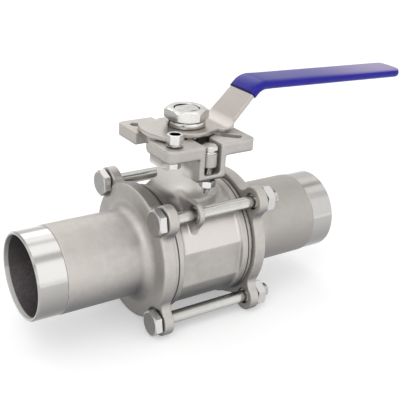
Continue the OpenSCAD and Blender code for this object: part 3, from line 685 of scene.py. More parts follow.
def plate_finish():
    """Rolled plate, brushed along the lever."""
    s = Shader("brushed_plate")
    base = paint("plate")
    at = s.place()
    brushed = s.noise(s.stretched(at, (0.03, 1.0, 1.0)), 0.4 * MM, 3.0)
    stains = s.noise(at, 12 * MM, 2.0)
    tone = s.mixed(brushed * 0.6 + stains * 0.4, tinted(base, 0.84), tinted(base, 1.12))
    return s.surface(base=tone, roughness=0.24 + brushed * 0.16 + stains * 0.06, metallic=1.0,
                     normal=s.bump(brushed, 0.05 * MM, 0.6, s.rounded(0.5 * MM)))


def lip_mask(s, at):
    """One on the lip of the grip's open end."""
    x, y, z = s.parts(at)
    rise = pointing(form_settings().rise_angle)
    start = grip_first().dot(rise)
    return (x * rise.x + z * rise.z).smooth_drop(start + GRIP_LIP[0], start + GRIP_LIP[1])


def vinyl_finish():
    """Glossy dipped vinyl with a slight flow ripple, a pale painted sheen on top, and a dark lip."""
    s = Shader("dipped_vinyl")
    base = paint("vinyl")
    at = s.place()
    x = s.parts(at)[0]
    ripple = s.noise(at, 9 * MM, 1.0)
    specks = s.noise(at, 1.2 * MM, 2.0)
    up = s.facing()[2].smooth_step(*TOP_SHEEN_UP)
    top_sheen = up * (x.smooth_step(*TOP_SHEEN_BEND) * 0.1 + x.smooth_step(*TOP_SHEEN_TIP) * 0.55)
    tone = s.mixed(ripple, tinted(base, 0.85), tinted(base, 1.2))
    # Painted sheen on top, stronger towards the tip.
    tone = s.mixed(top_sheen, tone, TOP_SHEEN_COLOUR)
    tone = s.mixed(lip_mask(s, at) * 0.85, tone, tinted(base, 0.15))
    return s.surface({"Coat Roughness": 0.12, "Specular IOR Level": 0.18}, base=tone,
                     roughness=0.36 + specks * 0.1, coat=0.12 + up * 0.2,
                     normal=s.bump(ripple, 0.3 * MM, 0.35))


def seal_finish():
    """Smooth white sealing plastic."""
    s = Shader("seal_plastic")
    base = paint("seal")
    clouds = s.noise(s.place(), 4 * MM, 2.0)
    return s.surface(base=s.mixed(clouds, tinted(base, 0.94), base), roughness=0.35 + clouds * 0.1)


def rubber_finish():
    """Black rubber with a dull bloom."""
    s = Shader("seal_rubber")
    base = paint("rubber")
    bloom = s.noise(s.place(), 2 * MM, 2.0)
    return s.surface(base=s.mixed(bloom, base, tinted(base, 2.0)), roughness=0.5 + bloom * 0.2)


FINISHES = {}
FINISH_MAKERS = {
    "cast": cast_finish, "centre": centre_finish, "cap": cap_finish, "band": band_finish,
    "bright": bright_finish, "stop": stop_finish, "head": head_finish, "shank": shank_finish,
    "plate": plate_finish, "vinyl": vinyl_finish, "seal": seal_finish, "rubber": rubber_finish,
}


def finish(name):
    """The material of a finish, made on first use."""
    if name not in FINISHES:
        FINISHES[name] = FINISH_MAKERS[name]()
    return FINISHES[name]


def coat_node(node, finish_name):
    """Gives a carried-over solid one finish."""
    mesh = frame["nodes"][node].data
    mesh.materials.clear()
    mesh.materials.append(finish(finish_name))


# Stage

# Name, place, sides in metres and power in watts of each soft light, and the point they aim at
LIGHTS = (("key_light", (-0.75, -0.65, 1.05), (0.8, 0.8), 4.2),
          ("back_light", (0.2, 1.2, 0.9), (1.2, 0.6), 2.5))
LIGHT_AIM = (0, 0, 0.03)

# Brightness of the air, from the front horizon (0) over the top (0.5) to the back horizon (1)
AIR_STOPS = ((0.0, 0.85), (0.02, 0.96), (0.27, 0.98), (0.31, 0.47), (0.38, 0.47), (0.41, 1.0),
             (0.55, 1.0), (0.575, 0.66), (0.61, 0.66), (0.635, 1.0), (0.7, 0.95), (0.75, 0.6),
             (0.88, 0.52), (1.0, 0.6))
AIR_LEFT = (-0.7, 0.3)
AIR_RIGHT = (0.42, 0.62)
AIR_FLAT = (0.53, 0.53, 0.53)


class VALVE_OT_stage(bpy.types.Operator):
    """Camera, pale floor and soft studio lights"""
    bl_idname = "valve.stage"
    bl_label = "Studio stage"

    def execute(self, context):
        settings = view_settings()
        context.scene.view_settings.view_transform = "Standard"
        context.scene.view_settings.look = "None"
        self.add_camera(context.scene, settings)
        self.add_floor(settings)
        self.add_lights(context.scene)
        return {"FINISHED"}

    def add_camera(self, scene, settings):
        yaw, pitch, roll = settings.camera_yaw, settings.camera_pitch, settings.camera_roll
        forward = Vector((math.sin(yaw) * math.cos(pitch), math.cos(yaw) * math.cos(pitch),
                          -math.sin(pitch)))
        right = forward.cross(Vector((0, 0, 1))).normalized()
        down = forward.cross(right)
        right, down = (math.cos(roll) * right + math.sin(roll) * down,
                       -math.sin(roll) * right + math.cos(roll) * down)
        data = bpy.data.cameras.new("photo_camera")
        data.lens = settings.camera_lens
        data.sensor_width = 36.0
        data.clip_end = 20.0
        camera = bpy.data.objects.new("photo_camera", data)
        turn = Matrix((right, -down, -forward)).transposed().to_4x4()
        camera.matrix_world = Matrix.Translation(settings.camera_at) @ turn
        scene.collection.objects.link(camera)
        scene.camera = camera

    def add_floor(self, settings):
        half = settings.floor_size / 2
        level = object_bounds()[0][2]
        mesh = bpy.data.meshes.new("studio_floor")
        mesh.from_pydata([(-half, -half, level), (half, -half, level), (half, half, level),
                          (-half, half, level)], [], [(0, 1, 2, 3)])
        floor = bpy.data.objects.new("studio_floor", mesh)
        bpy.context.scene.collection.objects.link(floor)
        s = Shader("studio_paint")
        tone = tuple(settings.floor_colour)
        clouds = s.noise(s.place(), 0.4, 2.0)
        mesh.materials.append(s.surface({"Emission Color": (1.0, 1.0, 1.0, 1.0),
                                         "Emission Strength": settings.floor_glow},
                                        base=s.mixed(clouds, tone, tinted(tone, 1.01)),
                                        roughness=0.75 + clouds * 0.05))
        floor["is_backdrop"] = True

    def add_lights(self, scene):
        scene.world = self.strip_lit_air()
        for name, place, sides, power in LIGHTS:
            data = bpy.data.lights.new(name, "AREA")
            data.shape = "RECTANGLE"
            data.size, data.size_y = sides
            data.energy = power
            light = bpy.data.objects.new(name, data)
            light.location = place
            ray = Vector(LIGHT_AIM) - Vector(place)
            light.rotation_euler = ray.to_track_quat("-Z", "Y").to_euler()
            scene.collection.objects.link(light)

    @staticmethod
    def strip_lit_air():
        """Air lit by long soft boxes along the pipes: one in front, one overhead, one high behind."""
        world = bpy.data.worlds.new("studio_air")
        s = Shader(world)
        x, y, z = s.parts(s.node("ShaderNodeTexCoord", output="Generated"))
        turn = z.maths("ARCTAN2", z, y * -1.0) * (1.0 / math.pi)
        tone = s.node("ShaderNodeValToRGB", {"stops": AIR_STOPS}, {"Fac": turn})
        tone = s.mixed(x.smooth_step(*AIR_RIGHT) * 0.72, tone, AIR_FLAT)
        strength = x.smooth_step(*AIR_LEFT) * 0.5 + 0.97
        air = s.node("ShaderNodeBackground", None, {"Color": tone, "Strength": strength})
        s.node("ShaderNodeOutputWorld", None, {"Surface": air})
        return world


# Forms. An edge is drawn sharp when its faces turn by more than this many degrees.

SHARP_ANGLE = 40.0
HEX_SHARP_ANGLE = 25.0


def ring_mesh(name, rings, ends="caps", sharp=SHARP_ANGLE):
    """A mesh of closed rings, each joined to the next. Ends are closed by caps, or meet each other."""
    form = bmesh.new()
    rows = [[form.verts.new(point) for point in ring] for ring in rings]
    count = len(rows[0])
    pairs = list(zip(rows, rows[1:]))
    if ends == "meet":
        pairs.append((rows[-1], rows[0]))
    for low, high in pairs:
        for i in range(count):
            j = (i + 1) % count
            form.faces.new((low[i], low[j], high[j], high[i]))
    if ends == "caps":
        form.faces.new(rows[0])
        form.faces.new(rows[-1])
    return finished_mesh(name, form, sharp)


def finished_mesh(name, form, sharp):
    """Turns a form into a mesh whose faces look outwards, smooth but for its sharp edges."""
    bmesh.ops.recalc_face_normals(form, faces=form.faces)
    mesh = bpy.data.meshes.new(name)
    form.to_mesh(mesh)
    form.free()
    mesh.shade_smooth()
    mesh.set_sharp_from_angle(angle=math.radians(sharp))
    return mesh


def joined(name, *meshes):
    """One mesh out of several closed shells."""
    form = bmesh.new()
    for mesh in meshes:
        form.from_mesh(mesh)
        bpy.data.meshes.remove(mesh)
    return finished_mesh(name, form, HEX_SHARP_ANGLE)


def polar(r, a, z):
    """The point at radius r, angle a and height z about the Z axis."""
    return (r * math.cos(a), r * math.sin(a), z)


def circle(r, z, count=64):
    """Points of a circle at height z."""
    return [polar(r, 2 * math.pi * i / count, z) for i in range(count)]


def lathe(name, profile, ends="meet", count=96):
    """Turns a profile of (radius, height) about Z."""
    return ring_mesh(name, [circle(r, z, count) for r, z in profile], ends)


# Turns from the middle of a hexagon's corner at which its outline has a point, in degrees
HEX_STEPS = (-24, -18, -12, -7, -4.4, -2.8, -1.4, 0, 1.4, 2.8, 4.4, 7, 12, 18, 24, 30)
HEX_HALF = math.radians(30)

# Radii of the flat end, the round seat and the seat's outer edge, as shares of half the width
HEX_FACE = 0.93
HEX_SEAT = 0.84
HEX_SEAT_EDGE = 0.94

# How much of a corner its rounding takes off, how softly, and where softening no longer counts
CORNER_CUT = 0.155
CORNER_SOFTNESS = 0.12
SOFT_LIMIT = -30


def hex_points(flat_r, rounding):
    """Angle and radius around a hexagon whose first corner lies at angle 0."""
    corner_r = flat_r / math.cos(HEX_HALF) - rounding * CORNER_CUT
    soft = rounding * CORNER_SOFTNESS
    points = []
    for corner in range(6):
        for step in HEX_STEPS:
            r = flat_r / math.cos(HEX_HALF - math.radians(abs(step)))
            gap = (corner_r - r) / soft
            r -= soft * math.log1p(math.exp(-gap)) if gap > SOFT_LIMIT else r - corner_r
            points.append((math.radians(60 * corner + step), r))
    return points


def hexagon(name, flats, height, thread_r=None, hollow=None):
    """A nut if a thread runs through it, otherwise a head on a round seat, standing on z = 0."""
    sizes = fastener_settings()
    flat_r = flats / 2
    face_r = flat_r * HEX_FACE
    slope = math.tan(HEX_HALF)
    outline = hex_points(flat_r, sizes.hex_round)
    lip = sizes.hex_lip

    def at(r, z):
        return [polar(r, a, z) for a, _ in outline]

    def side(level, sign):
        return [polar(r, a, level - sign * max(0.0, r - face_r) * slope) for a, r in outline]

    top = [side(height, 1.0), at(face_r, height)]
    if thread_r:
        hole_r = thread_r + sizes.thread_gap
        rings = [at(face_r, 0.0), side(0.0, -1.0)] + top
        rings += [at(hole_r + lip, height), at(hole_r, height - lip), at(hole_r, lip),
                  at(hole_r + lip, 0.0)]
        return ring_mesh(name, rings, "meet", HEX_SHARP_ANGLE)
    seat = sizes.seat_face
    rings = [at(flat_r * HEX_SEAT, 0.0), at(flat_r * HEX_SEAT, seat),
             at(flat_r * HEX_SEAT_EDGE, seat), side(seat, 0.0)] + top
    if hollow:
        radius, depth = hollow
        floor = height - depth
        rings += [at(radius + lip, height), at(radius, height - lip), at(radius, floor),
                  at(radius * 0.3, floor - radius * 0.3)]
    return ring_mesh(name, rings, sharp=HEX_SHARP_ANGLE)


# Points round a rod, rows in each turn of its thread, and the shares that shape tip and thread
ROD_COUNT = 48
ROWS_PER_TURN = 8
TIP_SHARE = 0.2
THREAD_DEPTH = 0.5
FLANK_SLOPE = 1.3
CREST_SHARE = 0.15


def threaded_rod(name, r, pitch, reach):
    """A rod from z = 0 up with a helical thread and a chamfered tip."""
    steps = max(4, round(reach / pitch * ROWS_PER_TURN))
    rings = []
    for k in range(steps + 1):
        z = reach * k / steps
        limit = r - max(0.0, z - (reach - r * TIP_SHARE))
        ring = []
        for i in range(ROD_COUNT):
            a = 2 * math.pi * i / ROD_COUNT
            phase = (z / pitch - i / ROD_COUNT) % 1.0
            groove = min(1.0, max(0.0, abs(2 * phase - 1) * FLANK_SLOPE - CREST_SHARE))
            radius = min(r - pitch * THREAD_DEPTH * groove, limit)
            ring.append(polar(radius, a, z))
        rings.append(ring)
    return ring_mesh(name, rings)


def moved(mesh, turn=0.0, at=(0, 0, 0), axis=None, flipped=False):
    """Turns a mesh about Z, flips it over or lays its Z along X, and puts it in place."""
    step = Matrix.Translation(at)
    if axis == "+X":
        step = step @ Matrix.Rotation(math.radians(90), 4, "Y")
    if axis == "-X":
        step = step @ Matrix.Rotation(math.radians(-90), 4, "Y")
    if flipped:
        step = step @ Matrix.Rotation(math.radians(180), 4, "X")
    mesh.transform(step @ Matrix.Rotation(turn, 4, "Z"))
    return mesh


def add_piece(name, mesh, body, finish_name, slot, *nodes):
    """Puts a finished mesh into the scene in place of CAD nodes."""
    piece = bpy.data.objects.new(name, mesh)
    bpy.context.scene.collection.objects.link(piece)
    mesh.materials.clear()
    mesh.materials.append(finish(finish_name))
    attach(piece, body)
    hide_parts(*nodes)
    return piece


def cut_end(form, cut_x):
    """Takes off what lies beyond cut_x and closes the tube that is left there."""
    split_r = (mount("outlet_weld_end")["dims"]["r_mm"] + mount("outlet_bore")["dims"]["r_mm"]) / 2
    side = 1.0 if cut_x > 0 else -1.0
    cut = bmesh.ops.bisect_plane(
        form, geom=form.verts[:] + form.edges[:] + form.faces[:], plane_co=(cut_x, 0, 0),
        plane_no=(side, 0, 0), clear_outer=True)
    rim = [edge for edge in cut["geom_cut"] if isinstance(edge, bmesh.types.BMEdge)]
    outer = [edge for edge in rim if edge.verts[0].co.yz.length > split_r * MM]
    inner = [edge for edge in rim if edge.verts[0].co.yz.length <= split_r * MM]
    bmesh.ops.bridge_loops(form, edges=outer + inner)


def recast(name, node, grid, passes, cut_x=None):
    """A node's form rebuilt on a fine grid, which rounds its edges and corners as casting does."""
    form = bmesh.new()
    form.from_mesh(frame["nodes"][node].data)
    bmesh.ops.remove_doubles(form, verts=form.verts, dist=0.001 * MM)
    if cut_x is not None:
        cut_end(form, cut_x)
    mesh = bpy.data.meshes.new(name)
    form.to_mesh(mesh)
    form.free()
    carrier = bpy.data.objects.new(name + "_form", mesh)
    bpy.context.scene.collection.objects.link(carrier)
    remesh = carrier.modifiers.new("grid", "REMESH")
    remesh.mode = "VOXEL"
    remesh.voxel_size = grid
    remesh.use_smooth_shade = True
    smooth = carrier.modifiers.new("soften", "SMOOTH")
    smooth.factor = 0.5
    smooth.iterations = passes
    view = bpy.context.evaluated_depsgraph_get()
    made = bpy.data.meshes.new_from_object(carrier.evaluated_get(view))
    bpy.data.objects.remove(carrier)
    bpy.data.meshes.remove(mesh)
    made.name = name
    made.shade_smooth()
    return made


def softened(mesh, region, passes):
    """Smooths the part of a mesh that lies in a region, as poured metal fills a corner."""
    form = bmesh.new()
    form.from_mesh(mesh)
    chosen = [vert for vert in form.verts if region(vert.co)]
    for _ in range(passes):
        bmesh.ops.smooth_vert(form, verts=chosen, factor=0.5, use_axis_x=True, use_axis_y=True,
                              use_axis_z=True)
    form.to_mesh(mesh)
    form.free()
    mesh.shade_smooth()
    return mesh


def mount(name):
    """One of the record's mounts."""
    return next(entry for entry in frame["record"]["mounts"] if entry["name"] == name)


# Pieces. First come smoothing passes, and where the foot of the neck lies.

CAST_PASSES = 3
PLATE_PASSES = 2
FOOT_PASSES = 30
FOOT_FROM_X_AXIS = 41 * MM
FOOT_FROM_Z_AXIS = (17 * MM, 33 * MM)
FOOT_HEIGHTS = (36 * MM, 57 * MM)


class VALVE_OT_body(bpy.types.Operator):
    """Centre casting with its yoke and pad"""
    bl_idname = "valve.body"
    bl_label = "Centre casting"

    def execute(self, context):
        mesh = recast("centre_casting", "body", form_settings().cast_grid, CAST_PASSES)
        mesh = softened(mesh, self.neck_foot, FOOT_PASSES)
        add_piece("centre_casting", mesh, "valve_body", "centre", "cast_steel", "body")
        return {"FINISHED"}

    @staticmethod
    def neck_foot(place):
        """Tells whether a point lies where the neck flares into the barrel."""
        near, far = FOOT_FROM_Z_AXIS
        low, high = FOOT_HEIGHTS
        return (FOOT_FROM_X_AXIS < place.yz.length and near < place.xy.length < far
                and low < place.z < high)


class VALVE_OT_caps(bpy.types.Operator):
    """Both end castings and their turned weld bands"""
    bl_idname = "valve.caps"
    bl_label = "End caps"

    def execute(self, context):
        grid = form_settings().cast_grid
        band_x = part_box("right_cap")[1].x - form_settings().band_l
        for side, word, node in ((-1, "near", "left_cap"), (1, "far", "right_cap")):
            name = word + "_cap_casting"
            cast = recast(name, node, grid, CAST_PASSES, side * band_x)
            add_piece(name, cast, "valve_body", "cap", "cast_steel", node)
            name = word + "_weld_band"
            band = moved(self.band(name, band_x), axis="+X" if side > 0 else "-X")
            add_piece(name, band, "valve_body", "band", "cast_steel", node)
        return {"FINISHED"}

    @staticmethod
    def band(name, start):
        """The turned end of a pipe, standing along Z."""
        forms = form_settings()
        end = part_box("right_cap")[1].x
        outer_r = mount("outlet_weld_end")["dims"]["r_mm"] * MM
        inner_r = mount("outlet_bore")["dims"]["r_mm"] * MM
        foot = 0.1 * MM
        bevel, burr = forms.band_bevel, forms.band_burr
        return lathe(name, [(inner_r, start), (outer_r - foot, start), (outer_r, start + foot),
                            (outer_r, end - bevel), (outer_r - bevel, end), (inner_r + burr, end),
                            (inner_r, end - burr)], count=160)


class VALVE_OT_gland(bpy.types.Operator):
    """Gland casting with its bolts, washers and nuts"""
    bl_idname = "valve.gland"
    bl_label = "Gland"

    def execute(self, context):
        mesh = recast("gland_casting", "gland", form_settings().gland_grid, CAST_PASSES)
        add_piece("gland_casting", mesh, "valve_body", "cast", "cast_steel", "gland")
        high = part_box("gland_washers")[1]
        for side, word in ((-1, "near"), (1, "far")):
            y = side * (high.y - high.x)
            self.add_bolt(word + "_gland_bolt", y, high.z)
            self.add_washer(word + "_gland_washer", y)
            self.add_nut(word + "_gland_nut", y)
        return {"FINISHED"}

    @staticmethod
    def add_bolt(name, y, seat_z):
        """A bolt whose head stands on its washer and whose rod hangs from it."""
        sizes = fastener_settings()
        low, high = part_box("gland_bolts")
        head = moved(hexagon("head", sizes.small_af, high.z - seat_z), sizes.gland_head_turn,
                     (0, y, seat_z))
        start = seat_z + sizes.head_bite
        rod = moved(threaded_rod("rod", sizes.small_bolt_r, sizes.small_bolt_pitch, start - low.z),
                    at=(0, y, start), flipped=True)
        add_piece(name, joined(name, head, rod), "valve_body", "shank", "fasteners", "gland_bolts")

    @staticmethod
    def add_washer(name, y):
        sizes = fastener_settings()
        low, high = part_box("gland_washers")
        inner_r, outer_r = sizes.small_bolt_r + sizes.thread_gap, high.x
        height, edge = high.z - low.z, sizes.gland_washer_edge
        ring = lathe("washer", [
            (inner_r, edge), (inner_r, height - edge), (inner_r + edge, height),
            (outer_r - edge, height), (outer_r, height - edge), (outer_r, edge),
            (outer_r - edge, 0.0), (inner_r + edge, 0.0)], count=64)
        add_piece(name, moved(ring, at=(0, y, low.z)), "valve_body", "bright", "fasteners",
                  "gland_washers")

    @staticmethod
    def add_nut(name, y):
        sizes = fastener_settings()
        low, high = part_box("gland_nuts")
        nut = moved(hexagon(name, sizes.small_af, high.z - low.z, sizes.small_bolt_r),
                    sizes.gland_nut_turn, (0, y, low.z))
        add_piece(name, nut, "valve_body", "bright", "fasteners", "gland_nuts")


class VALVE_OT_body_bolts(bpy.types.Operator):
    """Four body bolts with their nuts"""
    bl_idname = "valve.body_bolts"
    bl_label = "Body bolts"

    def execute(self, context):
        sizes = fastener_settings()
        centre = bolt_centre()
        nut_low, nut_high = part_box("body_nuts")
        thread_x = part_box("right_cap")[0].x + sizes.thread_start
        for row, y in (("front", -centre), ("back", centre)):
            for level, z in (("_lower", -centre), ("_upper", centre)):
                word = row + level
                self.add_head(word + "_head", (-nut_low.x, y, z))
                self.add_shank(word + "_shank", (-nut_low.x, y, z), thread_x)
                self.add_thread(word + "_thread", (thread_x, y, z), nut_high.x)
                self.add_nut(word + "_nut", (nut_low.x, y, z), nut_high.x)
        return {"FINISHED"}

    @staticmethod
    def add_head(name, at):
        sizes = fastener_settings()
        height = at[0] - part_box("body_bolts")[0].x
        head = moved(hexagon(name, sizes.body_af, height), sizes.body_head_turn, at, "-X")
        add_piece(name, head, "valve_body", "head", "fasteners", "body_bolts")

    @staticmethod
    def add_shank(name, at, end_x):
        sizes = fastener_settings()
        r = sizes.shank_r
        shank = lathe(name, [(r + sizes.shank_flare, 0.0), (r, sizes.shank_flare_l),
                             (r, end_x - at[0])], "caps", ROD_COUNT)
        add_piece(name, moved(shank, at=at, axis="+X"), "valve_body", "shank", "fasteners",
                  "body_bolts")

    @staticmethod
    def add_thread(name, at, nut_end_x):
        sizes = fastener_settings()
        reach = nut_end_x + sizes.body_bolt_end - at[0]
        rod = threaded_rod(name, sizes.body_bolt_r, sizes.body_bolt_pitch, reach)
        add_piece(name, moved(rod, at=at, axis="+X"), "valve_body", "shank", "fasteners",
                  "body_bolts")

    @staticmethod
    def add_nut(name, at, end_x):
        sizes = fastener_settings()
        nut = hexagon(name, sizes.body_af, end_x - at[0], sizes.body_bolt_r)
        add_piece(name, moved(nut, sizes.body_nut_turn, at, "+X"), "valve_body", "head",
                  "fasteners", "body_nuts")


class VALVE_OT_stem(bpy.types.Operator):
    """Stem, ball, stem nut and spring washer"""
    bl_idname = "valve.stem"
    bl_label = "Stem and ball"

    def execute(self, context):
        coat_node("ball", "bright")
        coat_node("stem", "bright")
        self.add_nut()
        self.add_washer()
        return {"FINISHED"}

    @staticmethod
    def add_nut():
        sizes = fastener_settings()
        low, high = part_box("stem_nut")
        nut = hexagon("stem_nut_dressed", sizes.stem_nut_af, high.z - low.z, sizes.stem_r)
        nut = moved(nut, sizes.stem_nut_turn, (0, 0, low.z))
        add_piece("stem_nut_dressed", nut, "lever_and_stem", "bright", "fasteners", "stem_nut")

    @staticmethod
    def washer_section(inner_r, outer_r, height, edge):
        """Outline of the spring washer's section as (radius, height), its outer edges rounded."""
        part = 0.3 * edge
        return ((inner_r, edge), (inner_r + edge, 0.0), (outer_r - edge, 0.0),
                (outer_r - part, part), (outer_r, edge), (outer_r, height - edge),
                (outer_r - part, height - part), (outer_r - edge, height),
                (inner_r + edge, height), (inner_r, height - edge))

    def add_washer(self):
        """The split spring washer, swept from one face of its split to the other."""
        sizes = fastener_settings()
        low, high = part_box("spring_washer")
        height, outer_r = high.z - low.z, high.y
        section = self.washer_section(sizes.stem_r + sizes.thread_gap, outer_r, height,
                                      sizes.washer_edge)
        gap = sizes.split_width / outer_r
        slant = math.tan(sizes.split_slant) / outer_r
        steps = 96
        rings = []
        for k in range(steps + 1):
            turn = sizes.split_angle + gap / 2 + (2 * math.pi - gap) * k / steps
            rings.append([polar(r, turn + slant * (z - height / 2), low.z + z)
                          for r, z in section])
        add_piece("spring_washer_dressed", ring_mesh("spring_washer_dressed", rings),
                  "lever_and_stem", "bright", "fasteners", "spring_washer")


# Outline of the stop screw's collar: radius, share of the collar's height, and height beyond that
COLLAR = ((4.2 * MM, 0, 0.0), (4.2 * MM, 0, 0.45 * MM), (5.3 * MM, 0, 0.5 * MM),
          (5.5 * MM, 0, 0.65 * MM), (5.5 * MM, 1, -0.2 * MM), (5.2 * MM, 1, 0.0),
          (3.8 * MM, 1, 0.0), (3.8 * MM, 1, 0.5 * MM))


class VALVE_OT_stop(bpy.types.Operator):
    """Hollow stop screw and its nut"""
    bl_idname = "valve.stop"
    bl_label = "Stop screw"

    def execute(self, context):
        low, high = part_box("stop_screw")
        x, y = (low.x + high.x) / 2, (low.y + high.y) / 2
        pad_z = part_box("body")[1].z
        self.add_screw(x, y, pad_z, low.z, high.z)
        self.add_nut(x, y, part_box("stop_nut")[1].z)
        return {"FINISHED"}

    @staticmethod
    def add_screw(x, y, pad_z, bottom_z, top_z):
        sizes = fastener_settings()
        seat_z = pad_z + sizes.collar_h
        head = hexagon("head", sizes.small_af, top_z - seat_z,
                       hollow=(sizes.stop_hollow_r, sizes.stop_hollow_l))
        head = moved(head, sizes.stop_turn, (x, y, seat_z))
        profile = [(r, part * sizes.collar_h + rise) for r, part, rise in COLLAR]
        collar = moved(lathe("collar", profile, "caps", 64), at=(x, y, pad_z))
        rod = threaded_rod("rod", sizes.small_bolt_r, sizes.small_bolt_pitch, pad_z - bottom_z)
        rod = moved(rod, at=(x, y, pad_z), flipped=True)
        add_piece("stop_screw_dressed", joined("stop_screw_dressed", head, collar, rod),
                  "valve_body", "stop", "fasteners", "stop_screw")

    @staticmethod
    def add_nut(x, y, top_z):
        sizes = fastener_settings()
        nut = hexagon("stop_nut_dressed", sizes.stop_nut_af, sizes.stop_nut_h,
                      sizes.small_bolt_r)
        nut = moved(nut, sizes.stop_turn, (x, y, top_z - sizes.stop_nut_h))
        add_piece("stop_nut_dressed", nut, "valve_body", "bright", "fasteners", "stop_nut")


class VALVE_OT_lever(bpy.types.Operator):
    """Bent lever plate"""
    bl_idname = "valve.lever"
    bl_label = "Lever plate"

    def execute(self, context):
        mesh = recast("lever_plate", "lever", form_settings().plate_grid, PLATE_PASSES)
        add_piece("lever_plate", mesh, "lever_and_stem", "plate", "lever_plate", "lever")
        return {"FINISHED"}


def pointing(a):
    """Direction along the lever at an angle above the level."""
    return Vector((math.cos(a), 0.0, math.sin(a)))


def grip_corner():
    """Where the middle lines of the rise and of the grip's straight part would cross."""
    forms = form_settings()
    mid_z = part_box("lever")[0].z + forms.plate_half
    return Vector((forms.grip_bend_x + forms.grip_rise / math.tan(forms.rise_angle), 0.0,
                   mid_z + forms.grip_rise))


def grip_first():
    """Where the grip's middle line starts on the rise."""
    forms = form_settings()
    return grip_corner() - pointing(forms.rise_angle) * forms.grip_start


def round_off(part):
    """A quarter circle that rises from nothing at 0 to one at 1, and stays there."""
    return math.sqrt(max(0.0, 1.0 - (1.0 - min(1.0, part)) ** 2))


# Numbers of steps along the grip, and how its ends close
RISE_STEPS = 9
BEND_STEPS = 12
BLADE_STEPS = 36
TIP_STEPS = 10
TIP_CLOSE = 0.45
TIP_THICK = 0.5
LIP_THICK = 0.82
FACE_CROWN = 0.06


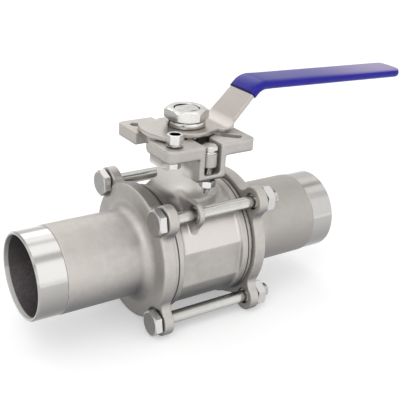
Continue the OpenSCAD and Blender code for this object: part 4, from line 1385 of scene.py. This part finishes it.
class VALVE_OT_grip(bpy.types.Operator):
    """Dipped grip, swept along the bent blade"""
    bl_idname = "valve.grip"
    bl_label = "Grip"

    def execute(self, context):
        rings = []
        for place, along in self.path():
            upward = Vector((-along.z, 0.0, along.x))
            rings.append([place + Vector((0.0, across, 0.0)) + upward * up
                          for across, up in self.outline(*self.half_sizes(place))])
        mesh = ring_mesh("grip_dressed", rings)
        grip = add_piece("grip_dressed", mesh, "lever_and_stem", "vinyl", "grip", "lever_grip")
        grip.visible_glossy = False
        return {"FINISHED"}

    @staticmethod
    def outline(half_w, half_t, round_steps=12, flat_steps=6):
        """Cross-section: round edges and slightly crowned faces."""
        flat = max(half_w - half_t, 0.1 * half_w)
        points = []
        for side in (1, -1):
            for i in range(round_steps + 1):
                a = side * (math.pi / 2 - math.pi * i / round_steps)
                points.append((side * (flat + half_t * math.cos(a)), half_t * math.sin(a)))
            for i in range(1, flat_steps):
                across = side * flat * (1 - 2 * i / flat_steps)
                rise = half_t * (1 + FACE_CROWN * (1 - (across / flat) ** 2))
                points.append((across, -side * rise))
        return points

    def path(self):
        """Places and directions along the middle line: up the rise, round the bend, to the tip."""
        forms = form_settings()
        rise, slope, bend_r = forms.rise_angle, forms.grip_slope, forms.grip_bend_r
        up, out = pointing(rise), pointing(slope)
        tangent = bend_r * math.tan((rise - slope) / 2)
        bend = grip_corner() - up * tangent
        centre = bend + pointing(rise - math.pi / 2) * bend_r
        path = [(grip_first().lerp(bend, k / RISE_STEPS), up) for k in range(RISE_STEPS)]
        for k in range(BEND_STEPS + 1):
            a = rise + (slope - rise) * k / BEND_STEPS
            path.append((centre + pointing(a + math.pi / 2) * bend_r, pointing(a)))
        blade = grip_corner() + out * tangent
        reach = (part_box("lever_grip")[1].x - blade.x) / out.x
        return path + [(blade + out * spot, out) for spot in self.blade_spots(reach)]

    @staticmethod
    def blade_spots(reach):
        """Distances along the straight part, closer together where the tip rounds off."""
        tip_r = form_settings().grip_tip_r
        spots = [reach * k / BLADE_STEPS for k in range(1, BLADE_STEPS - 1)]
        spots = [spot for spot in spots if spot < reach - tip_r]
        return spots + [reach - tip_r * (1 - math.sin(math.pi / 2 * k / TIP_STEPS))
                        for k in range(TIP_STEPS + 1)]

    @staticmethod
    def half_sizes(place):
        """Half the width and thickness: narrower past the bend, and rounded off at both ends."""
        forms = form_settings()
        taper = min(1.0, max(0.0, (place.x - grip_corner().x) / forms.grip_taper))
        left = (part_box("lever_grip")[1].x - place.x) / forms.grip_tip_r
        lip = round_off((place - grip_first()).length / forms.grip_lip)
        width = forms.grip_arm_w + (forms.grip_blade_w - forms.grip_arm_w) * taper
        width -= 2 * forms.grip_tip_r * (1.0 - round_off(left))
        thick = forms.grip_thick * (TIP_THICK + (1 - TIP_THICK) * round_off(left / TIP_CLOSE))
        thick *= LIP_THICK + (1 - LIP_THICK) * lip
        return width / 2, thick / 2


class VALVE_OT_seals(bpy.types.Operator):
    """Seats, gaskets, packing and rings"""
    bl_idname = "valve.seals"
    bl_label = "Seals"

    def execute(self, context):
        for node in ("left_gasket", "right_gasket", "left_seat", "right_seat", "thrust_washer",
                     "packing_rings"):
            coat_node(node, "seal")
        coat_node("stem_o_ring", "rubber")
        return {"FINISHED"}


class VALVE_PT_panel(bpy.types.Panel):
    """Lists the steps that dress the valve"""
    bl_idname = "VALVE_PT_panel"
    bl_label = "Ball valve"
    bl_space_type = "VIEW_3D"
    bl_region_type = "UI"
    bl_category = "Valve"

    def draw(self, context):
        for step in STEPS:
            self.layout.operator(step.bl_idname)


GROUPS = (VALVE_PG_view, VALVE_PG_forms, VALVE_PG_fasteners, VALVE_PG_finishes)
STEPS = (VALVE_OT_stage, VALVE_OT_body, VALVE_OT_caps, VALVE_OT_gland, VALVE_OT_body_bolts,
         VALVE_OT_stem, VALVE_OT_stop, VALVE_OT_lever, VALVE_OT_grip, VALVE_OT_seals)


def register():
    for cls in GROUPS + STEPS + (VALVE_PT_panel,):
        bpy.utils.register_class(cls)
    bpy.types.Scene.valve_view = PointerProperty(type=VALVE_PG_view)
    bpy.types.Scene.valve_forms = PointerProperty(type=VALVE_PG_forms)
    bpy.types.Scene.valve_fasteners = PointerProperty(type=VALVE_PG_fasteners)
    bpy.types.Scene.valve_finishes = PointerProperty(type=VALVE_PG_finishes)


def unregister():
    del bpy.types.Scene.valve_finishes
    del bpy.types.Scene.valve_fasteners
    del bpy.types.Scene.valve_forms
    del bpy.types.Scene.valve_view
    for cls in reversed(GROUPS + STEPS + (VALVE_PT_panel,)):
        bpy.utils.unregister_class(cls)


def main():
    """Runs every step in order."""
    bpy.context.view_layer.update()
    register()
    for step in STEPS:
        group, name = step.bl_idname.split(".")
        getattr(getattr(bpy.ops, group), name)()


if __name__ == "__main__":
    main()
